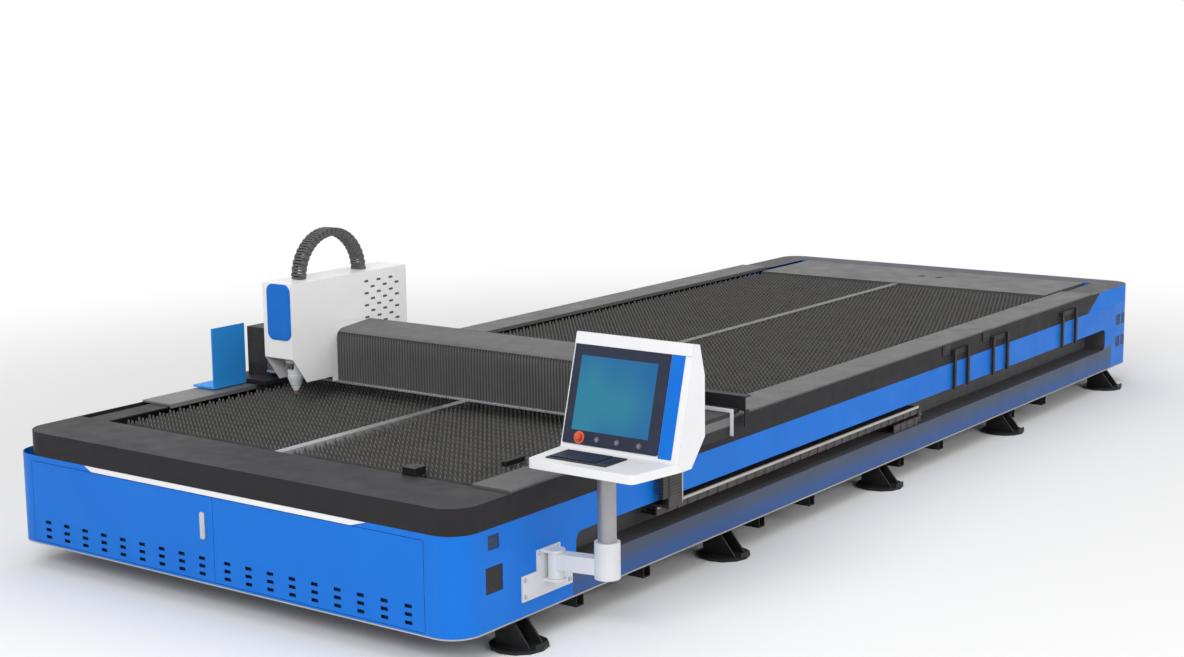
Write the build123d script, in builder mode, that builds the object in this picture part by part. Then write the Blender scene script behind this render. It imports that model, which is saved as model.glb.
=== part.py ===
from build123d import *
import math
import os

os.makedirs("parts", exist_ok=True)

# Flat bed sheet cutting machine. Millimetres, +Z up, +X away from the door end,
# the operator's console on the -Y side, origin on the floor under the bed's centre.

# Overall sizes
machine_length = 8180
machine_width = 3150
skirt_bottom = 140
shell_top = 630
rim_thickness = 130
corner_radius = 150
sheet = 4

# The table's centre line lies a little to the console side
table_centre_y = -45
side_ledge = 90
deck_depth = 400
opening_end_x = 3110
rear_rim_x = 3300
front_shell_end_x = -3230
rear_shell_x = 3700
rail_end_x = 3960

# Rails at each side, as distances from the table's centre line
cover_inner = 1290
beam_outer = 1515
beam_height = 170
slat_end = 1245
web_inner = 1257
web_outer = 1283
rail_offset = 1400
rail_width = 34
rail_height = 30
flange_thickness = 12
cover_thickness = 12
web_wall = 8
running_gap = 0.3

# Chain slot in the console side
slot_start_x = -3197
slot_end_x = 3575
slot_floor = 303
slot_roof = 461
slot_depth = 160
slot_radius = 50
chain_width = 120
chain_height = 50
chain_link = 100
chain_groove = 12
chain_groove_depth = 5
chain_fixed_x = 150
chain_loop_x = 470

# Cutting table
slat_pitch = 150
slat_thickness = 5
slat_first_x = -3600
slat_bottom = 670
slat_top = 758
tooth_depth = 30
teeth = 8
comb_width = 54
comb_height = 60
outer_comb = 1220

# Feet
foot_pitch = 1810
foot_count = 5
pad_radius = 144
pad_thickness = 16
pad_outboard = 115
anchor_offset = 90
anchor_hole_radius = 13
bracket_half_width = 60
screw_radius = 15

# Gantry, placed by the front of its beam
gantry_x = -2470
beam_depth = 240
beam_section_height = 215
beam_wall = 10
saddle_front = 105
saddle_length = 875
saddle_gap = 6
saddle_plate = 24
saddle_riser = 78
bellows_clear = 45
bellows_pleat = 18
bellows_skin = 4
bellows_bottom = 858
bellows_front_top = 1140
bellows_ridge = 1180
bellows_back_low = 1060
bellows_behind = 28
shoulder_run = 45
shoulder_rise = 22
long_pleats = 40
short_pleats = 7
short_bellows_end_y = 1200
long_bellows_end_y = -1400

# Racks and drive pinions
rack_width = 22
rack_inset = 6
pinion_pitch_radius = 30
pinion_addendum = 3
pinion_teeth = 20
pinion_thickness = 22
shaft_radius = 11
drive_from_saddle_end = 90

# Carriage and head
carriage_y = 740
carriage_width = 220
housing_front_x = -2872
housing_back_x = -1906
housing_top = 1458
housing_chin = 1032
housing_bottom = 886
housing_wall = 4
head_x = -2745
nozzle_tip = 787
head_rise = 120
arch_width = 80
arch_thickness = 47
arch_front_x = -2694
arch_back_x = -2200
arch_links = 16

# Doors in the front
door_left_y = 1409
door_right_y = -1374
door_meeting_y = 10
door_bottom = 156
door_top = 600
door_depth = 22
door_wall = 3
door_gap = 3
pivot_inset = 5
pivot_radius = 3
vent_rows = 3
vent_columns = 9
vent_pitch = 149
vent_row_pitch = 40
vent_length = 45
vent_height = 18
vent_lowest = 191
vent_from_meeting = 90.5

# Console
wall_pivot_x = -3425
wall_pivot_y = -1625
pole_x = -3376
pole_y = -1890
pole_radius = 45
shelf_top = 912
shelf_thickness = 44
shelf_front_x = -3602
shelf_back_x = -3292
panel_foot_x = -3313
panel_lean = 15.4
panel_height = 555
panel_right_y = -1575
panel_width = 672
bezel_width = 546
bezel_thickness = 6
screen_width = 441
screen_height = 357
screen_up = 88
button_up = 54
button_radius = 10
button_travel = 4
knob_radius = 20

rim_top = shell_top + rim_thickness
half_length = machine_length / 2
half_width = machine_width / 2
rim_half_width = (machine_width - side_ledge) / 2
rim_left_y = table_centre_y + rim_half_width
deck_back_x = -half_length + deck_depth
cover_top = rim_top + cover_thickness
flange_top = shell_top + flange_thickness
rail_top = flange_top + rail_height
beam_bottom_z = shell_top - beam_height
saddle_bottom = cover_top + saddle_gap
saddle_top = saddle_bottom + saddle_plate
gantry_bottom = saddle_top + saddle_riser
gantry_top = gantry_bottom + beam_section_height
gantry_back_x = gantry_x + beam_depth
saddle_x0 = gantry_x - saddle_front
saddle_x1 = saddle_x0 + saddle_length
drive_x = saddle_x1 - drive_from_saddle_end
rack_inner = cover_inner + rack_inset
pinion_offset = rack_inner - pinion_pitch_radius - pinion_addendum - running_gap
ridge_rise = bellows_ridge - bellows_front_top - shoulder_rise
ridge_slope = ridge_rise / (beam_depth + bellows_behind + bellows_clear - shoulder_run)
housing_right_y = carriage_y - carriage_width / 2
housing_left_y = carriage_y + carriage_width / 2


def keep(piece, name):
    piece.part.label = name
    export_step(piece.part, f"parts/{name}.step")


def bar(x, y, z, mode=Mode.ADD):
    # A square cornered member between two limits along each axis
    middle = [sum(limits) / 2 for limits in (x, y, z)]
    size = [abs(limits[1] - limits[0]) for limits in (x, y, z)]
    with Locations(tuple(middle)):
        Box(*size, mode=mode)


def post(x, y, z0, z1, radius, mode=Mode.ADD):
    # A round upright between two heights
    with Locations((x, y, (z0 + z1) / 2)):
        Cylinder(radius, z1 - z0, mode=mode)


def across(side, near, far):
    # Two Y values at distances from the table's centre line, side -1 or +1
    return (table_centre_y + side * near, table_centre_y + side * far)


def profile_points(side, pairs):
    # Section points given as distance from the table's centre line and height
    return [(table_centre_y + side * distance, height) for distance, height in pairs]


sides = (-1, 1)

# Front deck: a folded tray, open below, with rounded near corners
with BuildPart() as front_deck:
    with BuildSketch(Plane.XY.offset(shell_top)) as deck_outline:
        with BuildLine():
            Polyline(
                (deck_back_x, -half_width), (-half_length, -half_width),
                (-half_length, rim_left_y), (deck_back_x, rim_left_y), close=True,
            )
        make_face()
        fillet(deck_outline.vertices().group_by(Axis.X)[0], corner_radius)
    extrude(amount=rim_thickness)
    with BuildSketch(Plane.XY.offset(shell_top)) as deck_hollow:
        add(deck_outline.sketch)
        offset(amount=-sheet, mode=Mode.REPLACE)
    extrude(amount=rim_thickness - sheet, mode=Mode.SUBTRACT)
keep(front_deck, "front_deck")

# Rail boxes: outer web and floor flange that carry the guides, one each side
with BuildPart() as rail_boxes:
    for side in sides:
        with BuildSketch(Plane.YZ.offset(deck_back_x)):
            with BuildLine():
                Polyline(*profile_points(side, [
                    (cover_inner, shell_top), (rim_half_width, shell_top),
                    (rim_half_width, rim_top), (rim_half_width - web_wall, rim_top),
                    (rim_half_width - web_wall, flange_top), (cover_inner, flange_top),
                ]), close=True)
            make_face()
        extrude(amount=rear_rim_x - deck_back_x)
        bar((rear_rim_x, rail_end_x), across(side, cover_inner, beam_outer),
            (shell_top, flange_top))
keep(rail_boxes, "rail_boxes")

# Rail covers: flat lids over the guides, with a turned down inner lip
cover_lip = 12
left_cover_setback = 450
with BuildPart() as rail_covers:
    for side in sides:
        cover_start = deck_back_x if side < 0 else deck_back_x + left_cover_setback
        with BuildSketch(Plane.YZ.offset(cover_start)):
            with BuildLine():
                Polyline(*profile_points(side, [
                    (cover_inner, rim_top - cover_lip), (cover_inner + sheet, rim_top - cover_lip),
                    (cover_inner + sheet, rim_top), (rim_half_width - web_wall / 2, rim_top),
                    (rim_half_width - web_wall / 2, cover_top), (cover_inner, cover_top),
                ]), close=True)
            make_face()
        extrude(amount=rear_rim_x - 10 - cover_start)
keep(rail_covers, "rail_covers")

# Bed beams: the machined tubes along both sides under the rails
beam_wall_thickness = 10
with BuildPart() as bed_beams:
    for side in sides:
        middle_y = table_centre_y + side * (cover_inner + beam_outer) / 2
        with BuildSketch(Plane.YZ.offset(deck_back_x + 20)):
            with Locations((middle_y, shell_top - beam_height / 2)):
                Rectangle(beam_outer - cover_inner, beam_height)
                Rectangle(beam_outer - cover_inner - 2 * beam_wall_thickness,
                          beam_height - 2 * beam_wall_thickness, mode=Mode.SUBTRACT)
        extrude(amount=rail_end_x - deck_back_x - 20)
keep(bed_beams, "bed_beams")

# Lower frames: a sill and uprights under each beam
upright_width = 70
upright_length = 100
sill_height = 80
upright_pitch = 728
frame_ends = foot_pitch * 2 + bracket_half_width
with BuildPart() as lower_frames:
    for side in sides:
        frame_y = across(side, cover_inner, cover_inner + upright_width)
        bar((-frame_ends, frame_ends), frame_y, (skirt_bottom, skirt_bottom + sill_height))
        for step in range(-5, 6):
            middle_x = step * upright_pitch
            bar((middle_x - upright_length / 2, middle_x + upright_length / 2), frame_y,
                (skirt_bottom + sill_height, beam_bottom_z))
keep(lower_frames, "lower_frames")

# Cross members: bearers between the beams and open tubes under the sills
bearer_count = 9
bearer_pitch = 850
bearer_first_x = -3420
bearer_width = 80
bearer_height = 60
bearer_top = slat_bottom - comb_height
tube_size = 60
tube_wall = 5
tube_places = (-3172, -2594, -1458, -898, 236, 787, 1905, 2441)
with BuildPart() as cross_members:
    with BuildSketch(Plane.XZ.offset(-table_centre_y - cover_inner)):
        with Locations([(bearer_first_x + number * bearer_pitch, bearer_top - bearer_height / 2)
                        for number in range(bearer_count)]):
            Rectangle(bearer_width, bearer_height)
            Rectangle(bearer_width - 2 * tube_wall, bearer_height - 2 * tube_wall,
                      mode=Mode.SUBTRACT)
    extrude(amount=2 * cover_inner)
    with BuildSketch(Plane.XZ.offset(-half_width)):
        with Locations([(x, skirt_bottom - tube_size / 2) for x in tube_places]):
            Rectangle(tube_size, tube_size)
            Rectangle(tube_size - 2 * tube_wall, tube_size - 2 * tube_wall, mode=Mode.SUBTRACT)
    extrude(amount=machine_width)
keep(cross_members, "cross_members")

# Feet: a floor pad with an anchor hole, an upturned toe, two ribs and a top plate
foot_places = [(number - 2) * foot_pitch for number in range(foot_count)]
pad_y = half_width + pad_outboard - pad_radius
anchor_y = half_width + anchor_offset
plate_thickness = 12
rib_thickness = 10
with BuildPart() as foot_stands:
    for x in foot_places:
        for side in sides:
            frame_inner = table_centre_y + side * cover_inner
            with BuildSketch(Plane.XY):
                with Locations((x, side * pad_y)):
                    RegularPolygon(pad_radius, 12)
                with Locations((x, side * anchor_y)):
                    Circle(anchor_hole_radius, mode=Mode.SUBTRACT)
            extrude(amount=pad_thickness)
            bar((x - bracket_half_width, x + bracket_half_width),
                (frame_inner, side * (half_width - 15)),
                (skirt_bottom - plate_thickness, skirt_bottom))
            for edge in (-1, 1):
                rib_x = x + edge * (bracket_half_width - rib_thickness)
                with BuildSketch(Plane.YZ.offset(rib_x - rib_thickness / 2)):
                    with BuildLine():
                        Polyline(
                            (side * (half_width - 130), pad_thickness),
                            (side * (half_width + 75), pad_thickness),
                            (side * (half_width + 55), pad_thickness + 28),
                            (side * (half_width - 15), skirt_bottom - plate_thickness),
                            (side * (half_width - 130), skirt_bottom - plate_thickness),
                            close=True,
                        )
                    make_face()
                extrude(amount=rib_thickness)
            bar((x - 45, x + 45), (side * (half_width + 99), side * (half_width + pad_outboard - 6)),
                (pad_thickness, pad_thickness + 22))
keep(foot_stands, "foot_stands")

# Levelling screws stand on the pads and press up under the top plates
nut_radius = 26
nut_height = 20
screw_inset = 80
with BuildPart() as levelling_screws:
    for x in foot_places:
        for side in sides:
            screw_y = side * (half_width - screw_inset)
            post(x, screw_y, pad_thickness, skirt_bottom - plate_thickness, screw_radius)
            with BuildSketch(Plane.XY.offset(skirt_bottom - plate_thickness - nut_height)):
                with Locations((x, screw_y)):
                    RegularPolygon(nut_radius, 6)
            extrude(amount=nut_height)
keep(levelling_screws, "levelling_screws")

# Front shell: wraps the door end, with a door frame and side windows
# windows as middle X, middle Z, width and height
frame_flange = 56
front_windows = ((-3832, 563, 82, 70), (-3830, 385, 126, 126))
with BuildPart() as front_shell:
    with BuildSketch(Plane.XY.offset(skirt_bottom)) as front_outline:
        with BuildLine():
            Polyline(
                (front_shell_end_x, -half_width), (-half_length, -half_width),
                (-half_length, half_width), (front_shell_end_x, half_width), close=True,
            )
        make_face()
        fillet(front_outline.vertices().group_by(Axis.X)[0], corner_radius)
    extrude(amount=shell_top - skirt_bottom)
    with BuildSketch(Plane.XY.offset(skirt_bottom)) as front_hollow:
        add(front_outline.sketch)
        offset(amount=-sheet, mode=Mode.REPLACE)
        with Locations((front_shell_end_x, 0)):
            Rectangle(4 * sheet, machine_width - 2 * sheet)
    extrude(amount=shell_top - skirt_bottom, mode=Mode.SUBTRACT)
    bar((-half_length, -half_length + sheet), (door_right_y, door_left_y),
        (door_bottom, door_top), mode=Mode.SUBTRACT)
    for low in (door_bottom - sheet, door_top):
        bar((-half_length + sheet, -half_length + frame_flange),
            (door_right_y - 2, door_left_y + 2), (low, low + sheet))
    # A ledge closes the gap between this wider shell and the narrower rim
    bar((-half_length + corner_radius, front_shell_end_x),
        (table_centre_y + beam_outer, half_width - sheet), (shell_top - sheet, shell_top))
    for middle_x, middle_z, width, height in front_windows:
        bar((middle_x - width / 2, middle_x + width / 2), (-half_width, -half_width + sheet),
            (middle_z - height / 2, middle_z + height / 2), mode=Mode.SUBTRACT)
keep(front_shell, "front_shell")

# Front trim: a thin strip with slanted ends under the deck's edge
trim_thickness = 6
trim_bottom = door_top + 3
trim_top_y = (-1026, 965)
trim_bottom_y = (-929, 911)
with BuildPart() as front_trim:
    with BuildSketch(Plane.YZ.offset(-half_length - trim_thickness)):
        with BuildLine():
            Polyline((trim_top_y[0], shell_top), (trim_bottom_y[0], trim_bottom),
                     (trim_bottom_y[1], trim_bottom), (trim_top_y[1], shell_top), close=True)
        make_face()
    extrude(amount=trim_thickness)
keep(front_trim, "front_trim")

# Side panel on the console side, with the long round ended chain slot
with BuildPart() as right_side_panel:
    with BuildSketch(Plane.XZ.offset(half_width - sheet)):
        with Locations(((front_shell_end_x + rear_shell_x) / 2, (skirt_bottom + shell_top) / 2)):
            Rectangle(rear_shell_x - front_shell_end_x, shell_top - skirt_bottom)
        with Locations(((slot_start_x + slot_end_x) / 2, (slot_floor + slot_roof) / 2)):
            RectangleRounded(slot_end_x - slot_start_x, slot_roof - slot_floor, slot_radius,
                             mode=Mode.SUBTRACT)
    extrude(amount=sheet)
keep(right_side_panel, "right_side_panel")

# Side panel on the far side, with a ledge in to the rim
with BuildPart() as left_side_panel:
    bar((front_shell_end_x, rear_shell_x), (half_width - sheet, half_width),
        (skirt_bottom, shell_top))
    bar((front_shell_end_x, rear_shell_x), (table_centre_y + beam_outer, half_width - sheet),
        (shell_top - sheet, shell_top))
keep(left_side_panel, "left_side_panel")

# Chain trough: the channel behind the slot
with BuildPart() as chain_trough:
    with BuildSketch(Plane.YZ.offset(slot_start_x - sheet)):
        with BuildLine():
            Polyline(
                (-half_width + sheet, slot_floor), (-half_width + sheet, slot_floor - sheet),
                (-half_width + slot_depth + sheet, slot_floor - sheet),
                (-half_width + slot_depth + sheet, beam_bottom_z),
                (-half_width + slot_depth, beam_bottom_z),
                (-half_width + slot_depth, slot_floor), close=True,
            )
        make_face()
    extrude(amount=slot_end_x - slot_start_x + 2 * sheet)
    for end_x in (slot_start_x - sheet, slot_end_x):
        bar((end_x, end_x + sheet), (-half_width + sheet, -half_width + slot_depth),
            (slot_floor, beam_bottom_z))
keep(chain_trough, "chain_trough")

# Rear shell: wraps the far end below the rim, with four small windows
rear_window = 80
rear_window_x = (3785, 3889)
rear_window_z = (292, 461)
with BuildPart() as rear_shell:
    with BuildSketch(Plane.XY.offset(skirt_bottom)) as rear_outline:
        with BuildLine():
            Polyline(
                (rear_shell_x, -half_width), (half_length, -half_width),
                (half_length, half_width), (rear_shell_x, half_width), close=True,
            )
        make_face()
        fillet(rear_outline.vertices().group_by(Axis.X)[-1], corner_radius)
    extrude(amount=shell_top - skirt_bottom)
    with BuildSketch(Plane.XY.offset(skirt_bottom)) as rear_hollow:
        add(rear_outline.sketch)
        offset(amount=-sheet, mode=Mode.REPLACE)
        with Locations((rear_shell_x, 0)):
            Rectangle(4 * sheet, machine_width - 2 * sheet)
    extrude(amount=shell_top - skirt_bottom, mode=Mode.SUBTRACT)
    bar((rear_shell_x, half_length - corner_radius),
        (table_centre_y + beam_outer, half_width - sheet), (shell_top - sheet, shell_top))
    for window_x in rear_window_x:
        for window_z in rear_window_z:
            bar((window_x, window_x + rear_window), (-half_width, -half_width + sheet),
                (window_z, window_z + rear_window), mode=Mode.SUBTRACT)
keep(rear_shell, "rear_shell")

# Rear rim: covers over the rails' far ends and the cap across the end
rear_cap_x = 3870
with BuildPart() as rear_rim:
    with BuildSketch(Plane.XY.offset(shell_top)) as rim_outline:
        with BuildLine():
            Polyline(
                (rear_rim_x, -half_width), (half_length, -half_width),
                (half_length, rim_left_y), (rear_rim_x, rim_left_y), close=True,
            )
        make_face()
        fillet(rim_outline.vertices().group_by(Axis.X)[-1], corner_radius)
    extrude(amount=rim_thickness)
    with BuildSketch(Plane.XY.offset(shell_top)) as rim_hollow:
        add(rim_outline.sketch)
        offset(amount=-sheet, mode=Mode.REPLACE)
        with Locations((rear_rim_x, table_centre_y)):
            Rectangle(4 * sheet, 2 * rim_half_width - 2 * sheet)
    extrude(amount=rim_thickness - sheet, mode=Mode.SUBTRACT)
    between_rails = (table_centre_y - cover_inner, table_centre_y + cover_inner)
    bar((rear_rim_x, rear_cap_x), between_rails, (shell_top, rim_top), mode=Mode.SUBTRACT)
    bar((rear_cap_x, rear_cap_x + sheet), between_rails, (shell_top, rim_top - sheet))
keep(rear_rim, "rear_rim")

# Rear deck: a folded tray between the rails behind the table, clear of the pinions' path
rear_deck_gap = 4
rear_deck_side = pinion_offset - pinion_pitch_radius - pinion_addendum - 2
rear_deck_x = (opening_end_x, rear_cap_x - rear_deck_gap)
with BuildPart() as rear_deck:
    bar(rear_deck_x, (table_centre_y - rear_deck_side, table_centre_y + rear_deck_side),
        (bearer_top, rim_top))
    bar((rear_deck_x[0] + sheet, rear_deck_x[1] - sheet),
        (table_centre_y - rear_deck_side + sheet, table_centre_y + rear_deck_side - sheet),
        (bearer_top, rim_top - sheet), mode=Mode.SUBTRACT)
keep(rear_deck, "rear_deck")

# Table slats: toothed blades across each half of the table
slat_length = slat_end - comb_width / 2 - 1
tooth_pitch = slat_length / teeth
slat_rows = int((opening_end_x - 30 - slat_first_x) / slat_pitch) + 1
with BuildPart(mode=Mode.PRIVATE) as slat:
    with BuildSketch(Plane.YZ):
        with BuildLine():
            edge = [(0, slat_bottom), (0, slat_top - tooth_depth)]
            for number in range(teeth):
                edge.append(((number + 0.5) * tooth_pitch, slat_top))
                edge.append(((number + 1) * tooth_pitch, slat_top - tooth_depth))
            edge.append((slat_length, slat_bottom))
            Polyline(*edge, close=True)
        make_face()
    extrude(amount=slat_thickness)
with BuildPart() as table_slats:
    slat_places = []
    for row in range(slat_rows):
        row_x = slat_first_x + row * slat_pitch
        slat_places.append((row_x, table_centre_y - slat_end, 0))
        slat_places.append((row_x, table_centre_y + comb_width / 2 + 1, 0))
    with Locations(slat_places):
        add(slat.part, clean=False)
keep(table_slats, "table_slats")

# Slat combs: bars that hold the blades, the middle one up to the blades' tips,
# and the two black stops of the table's near corner
comb_x = (deck_back_x + 10, opening_end_x - 10)
stop_thickness = 40
with BuildPart() as slat_combs:
    bar(comb_x, across(1, -comb_width / 2, comb_width / 2), (bearer_top, slat_top - 2))
    for side in sides:
        bar(comb_x, across(side, outer_comb - 25, outer_comb), (bearer_top, slat_bottom))
    bar((deck_back_x - 12, deck_back_x + 70), (-991, -910), (rim_top, rim_top + stop_thickness))
    stop_x = slat_first_x + 2 * slat_pitch
    stop_y = table_centre_y - slat_end + tooth_pitch / 2
    bar((stop_x, stop_x + slat_pitch + slat_thickness), (stop_y - 12, stop_y + 12),
        (slat_top, slat_top + 25))
keep(slat_combs, "slat_combs")

# Slag pans: four open trays under the table, on the bearers' ends
pan_bottom = 300
pan_gap = 20
pan_count = 4
pan_length = (opening_end_x - deck_back_x - 40) / pan_count
pan_half_width = cover_inner - 10
pan_rim = bearer_top - bearer_height
with BuildPart() as slag_pans:
    for number in range(pan_count):
        start_x = deck_back_x + 30 + number * pan_length
        bar((start_x, start_x + pan_length - pan_gap),
            (table_centre_y - pan_half_width, table_centre_y + pan_half_width),
            (pan_bottom, pan_rim))
        bar((start_x + sheet, start_x + pan_length - pan_gap - sheet),
            (table_centre_y - pan_half_width + sheet, table_centre_y + pan_half_width - sheet),
            (pan_bottom + sheet, pan_rim), mode=Mode.SUBTRACT)
keep(slag_pans, "slag_pans")

# Guide rails with a waisted section, and plain rack bars beside them
rack_height = 25
with BuildPart() as rails_and_racks:
    for side in sides:
        half_head = rail_width / 2
        half_waist = rail_width / 3
        with BuildSketch(Plane.YZ.offset(deck_back_x + 30)):
            with BuildLine():
                Polyline(*profile_points(side, [
                    (rail_offset - half_head, flange_top), (rail_offset + half_head, flange_top),
                    (rail_offset + half_waist, flange_top + rail_height / 2),
                    (rail_offset + half_head, rail_top), (rail_offset - half_head, rail_top),
                    (rail_offset - half_waist, flange_top + rail_height / 2),
                ]), close=True)
            make_face()
        extrude(amount=rail_end_x - 20 - deck_back_x - 30)
        bar((deck_back_x + 30, rail_end_x - 20),
            across(side, rack_inner, rack_inner + rack_width),
            (flange_top, flange_top + rack_height))
keep(rails_and_racks, "rails_and_racks")

# Side posts: three pairs of hangers on plates, and two light tabs on the rim's face
post_pairs = ((936, 1134), (1527, 1755), (2706, 2950))
with BuildPart() as side_posts:
    for first_x, second_x in post_pairs:
        bar((first_x - 20, second_x + 20), (-half_width - 10, -half_width), (680, 715))
        for x in (first_x, second_x):
            bar((x - 14, x + 14), (-half_width - 24, -half_width - 10), (455, 715))
    for x in (835, 1435):
        bar((x - 55, x + 55), (-half_width - 6, -half_width), (697, rim_top))
keep(side_posts, "side_posts")

# Console bracket: a wall plate with two ears and the pivot pin between them
ear_thickness = 15
ear_low = 285
ear_high = 425
pin_radius = 14
with BuildPart() as console_bracket:
    bar((-3633, -3240), (-half_width - 8, -half_width), (219, 345))
    bar((-3516, -3334), (-half_width - 8, -half_width), (277, 445))
    for low in (ear_low, ear_high):
        bar((wall_pivot_x - 45, wall_pivot_x + 45), (wall_pivot_y, -half_width - 8),
            (low, low + ear_thickness))
        post(wall_pivot_x, wall_pivot_y, low, low + ear_thickness, 45)
    post(wall_pivot_x, wall_pivot_y, ear_low, ear_high + ear_thickness, pin_radius)
keep(console_bracket, "console_bracket")

# Door pivot pins stand in the door frame's flanges
with BuildPart() as door_pins:
    for pin_y in (door_left_y - door_gap - pivot_inset, door_right_y + door_gap + pivot_inset):
        post(-half_length + pivot_inset + 0.5, pin_y, door_bottom, door_bottom + door_gap + 2.5,
             pivot_radius)
        post(-half_length + pivot_inset + 0.5, pin_y, door_top - door_gap - 2.5, door_top, pivot_radius)
keep(door_pins, "door_pins")


def make_door(low_y, high_y, pin_y, vent_start, vent_step):
    # A folded leaf, open at the back, with three rows of vent slots
    with BuildPart() as leaf:
        bar((-half_length, -half_length + door_depth), (low_y, high_y),
            (door_bottom + door_gap, door_top - door_gap))
        bar((-half_length + door_wall, -half_length + door_depth),
            (low_y + door_wall, high_y - door_wall),
            (door_bottom + door_gap + door_wall, door_top - door_gap - door_wall),
            mode=Mode.SUBTRACT)
        with BuildSketch(Plane.YZ.offset(-half_length)):
            with Locations([
                (vent_start + vent_step * column, vent_lowest + vent_row_pitch * row)
                for column in range(vent_columns) for row in range(vent_rows)
            ]):
                Rectangle(vent_length, vent_height)
        extrude(amount=door_wall, mode=Mode.SUBTRACT)
        post(-half_length + pivot_inset + 0.5, pin_y, door_bottom, door_top,
             pivot_radius + running_gap, mode=Mode.SUBTRACT)
    return leaf


door_left = make_door(door_meeting_y + door_gap / 2, door_left_y - door_gap,
                      door_left_y - door_gap - pivot_inset,
                      door_meeting_y + vent_from_meeting, vent_pitch)
keep(door_left, "door_left")
door_right = make_door(door_right_y + door_gap, door_meeting_y - door_gap / 2,
                       door_right_y + door_gap + pivot_inset,
                       door_meeting_y - vent_from_meeting, -vent_pitch)
keep(door_right, "door_right")

# Door handle: an upright grip on the left leaf
with BuildPart() as door_handle:
    with BuildSketch(Plane.YZ.offset(-half_length - 14)):
        with Locations((78, 444)):
            RectangleRounded(34, 142, 12)
    extrude(amount=14)
    chamfer(door_handle.edges().group_by(Axis.X)[0], 4)
keep(door_handle, "door_handle")

# Console arm: a knuckle on the wall pin, a level arm and the pole's socket
knuckle_radius = 40
arm_height = 80
arm_low = 345
socket_top = 507
socket_radius = 62
arm_angle = math.degrees(math.atan2(pole_y - wall_pivot_y, pole_x - wall_pivot_x))
arm_length = math.hypot(pole_y - wall_pivot_y, pole_x - wall_pivot_x)
with BuildPart() as console_arm:
    post(wall_pivot_x, wall_pivot_y, ear_low + ear_thickness + running_gap, ear_high - running_gap,
         knuckle_radius)
    with BuildSketch(Plane((wall_pivot_x, wall_pivot_y, arm_low),
                           x_dir=(pole_x - wall_pivot_x, pole_y - wall_pivot_y, 0),
                           z_dir=(0, 0, 1))):
        with Locations((arm_length / 2, 0)):
            Rectangle(arm_length, 2 * knuckle_radius - 8)
    extrude(amount=ear_high - running_gap - arm_low)
    post(pole_x, pole_y, arm_low - 16, socket_top, socket_radius)
    post(pole_x, pole_y, arm_low + 20, socket_top, pole_radius + running_gap, mode=Mode.SUBTRACT)
    post(wall_pivot_x, wall_pivot_y, ear_low, ear_high, pin_radius + running_gap,
         mode=Mode.SUBTRACT)
keep(console_arm, "console_arm")

# Console pole: the upright with a plate under the shelf
shelf_bottom = shelf_top - shelf_thickness
pole_plate = 8
with BuildPart() as console_pole:
    post(pole_x, pole_y, arm_low + 20 + running_gap, shelf_bottom - pole_plate, pole_radius)
    bar((pole_x - 75, pole_x + 75), (pole_y - 75, pole_y + 75),
        (shelf_bottom - pole_plate, shelf_bottom))
keep(console_pole, "console_pole")

# Console shell: the keyboard shelf and the leaning screen housing behind it
panel_normal = Vector(-math.cos(math.radians(panel_lean)), 0, math.sin(math.radians(panel_lean)))
panel_up = Vector(math.sin(math.radians(panel_lean)), 0, math.cos(math.radians(panel_lean)))
panel_plane = Plane((panel_foot_x, panel_right_y, shelf_top), x_dir=(0, -1, 0), z_dir=panel_normal)
panel_top_x = panel_foot_x + panel_height * panel_up.X
panel_top_z = shelf_top + panel_height * panel_up.Z
keyboard_x = (-3544, -3366)
keyboard_y = (-2005, -1659)
keyboard_sink = 6
with BuildPart() as console_shell:
    with BuildSketch(Plane.XY.offset(shelf_bottom)) as shelf_outline:
        with BuildLine():
            Polyline(
                (shelf_front_x, panel_right_y - 22), (shelf_front_x, panel_right_y - 618),
                (shelf_back_x, panel_right_y - panel_width), (-3200, panel_right_y - panel_width),
                (-3200, panel_right_y), (shelf_back_x, panel_right_y), close=True,
            )
        make_face()
        fillet(shelf_outline.vertices().group_by(Axis.X)[0], 28)
    extrude(amount=shelf_thickness)
    with BuildSketch(Plane.XZ.offset(-panel_right_y)):
        with BuildLine():
            Polyline(
                (panel_foot_x, shelf_top), (panel_top_x, panel_top_z),
                (panel_top_x + 40, panel_top_z - 8), (-3085, 1290), (-3085, 1000),
                (-3200, shelf_bottom), (panel_foot_x + 60, shelf_bottom + 10), close=True,
            )
        make_face()
    extrude(amount=panel_width)
    with BuildSketch(Plane.XZ.offset(-panel_right_y + 2 * sheet)):
        with BuildLine():
            Polyline(
                (panel_foot_x + 70, shelf_top + 30), (panel_top_x + 12, panel_top_z - 30),
                (panel_top_x + 36, panel_top_z - 34), (-3093, 1288), (-3093, 1004),
                (-3200, shelf_top - 20), (panel_foot_x + 70, shelf_top - 20), close=True,
            )
        make_face()
    extrude(amount=panel_width - 4 * sheet, mode=Mode.SUBTRACT)
    bar(keyboard_x, keyboard_y, (shelf_top - keyboard_sink, shelf_top), mode=Mode.SUBTRACT)
keep(console_shell, "console_shell")

# Console bezel: the dark front frame with the screen's window and the buttons' bores
screen_across = 52
bezel_across = 10
knob_across = 105
button_across = (210, 325, 451)
stem_radius = 8
with BuildPart() as console_bezel:
    with BuildSketch(panel_plane):
        with Locations((bezel_across + bezel_width / 2, panel_height / 2 + 6)):
            RectangleRounded(bezel_width, panel_height - 30, 10)
        with Locations((screen_across + screen_width / 2, screen_up + screen_height / 2)):
            Rectangle(screen_width, screen_height, mode=Mode.SUBTRACT)
        with Locations([(x, button_up) for x in button_across]):
            Circle(button_radius + running_gap, mode=Mode.SUBTRACT)
        with Locations((knob_across, button_up)):
            Circle(stem_radius + running_gap, mode=Mode.SUBTRACT)
    extrude(amount=bezel_thickness)
keep(console_bezel, "console_bezel")

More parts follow.
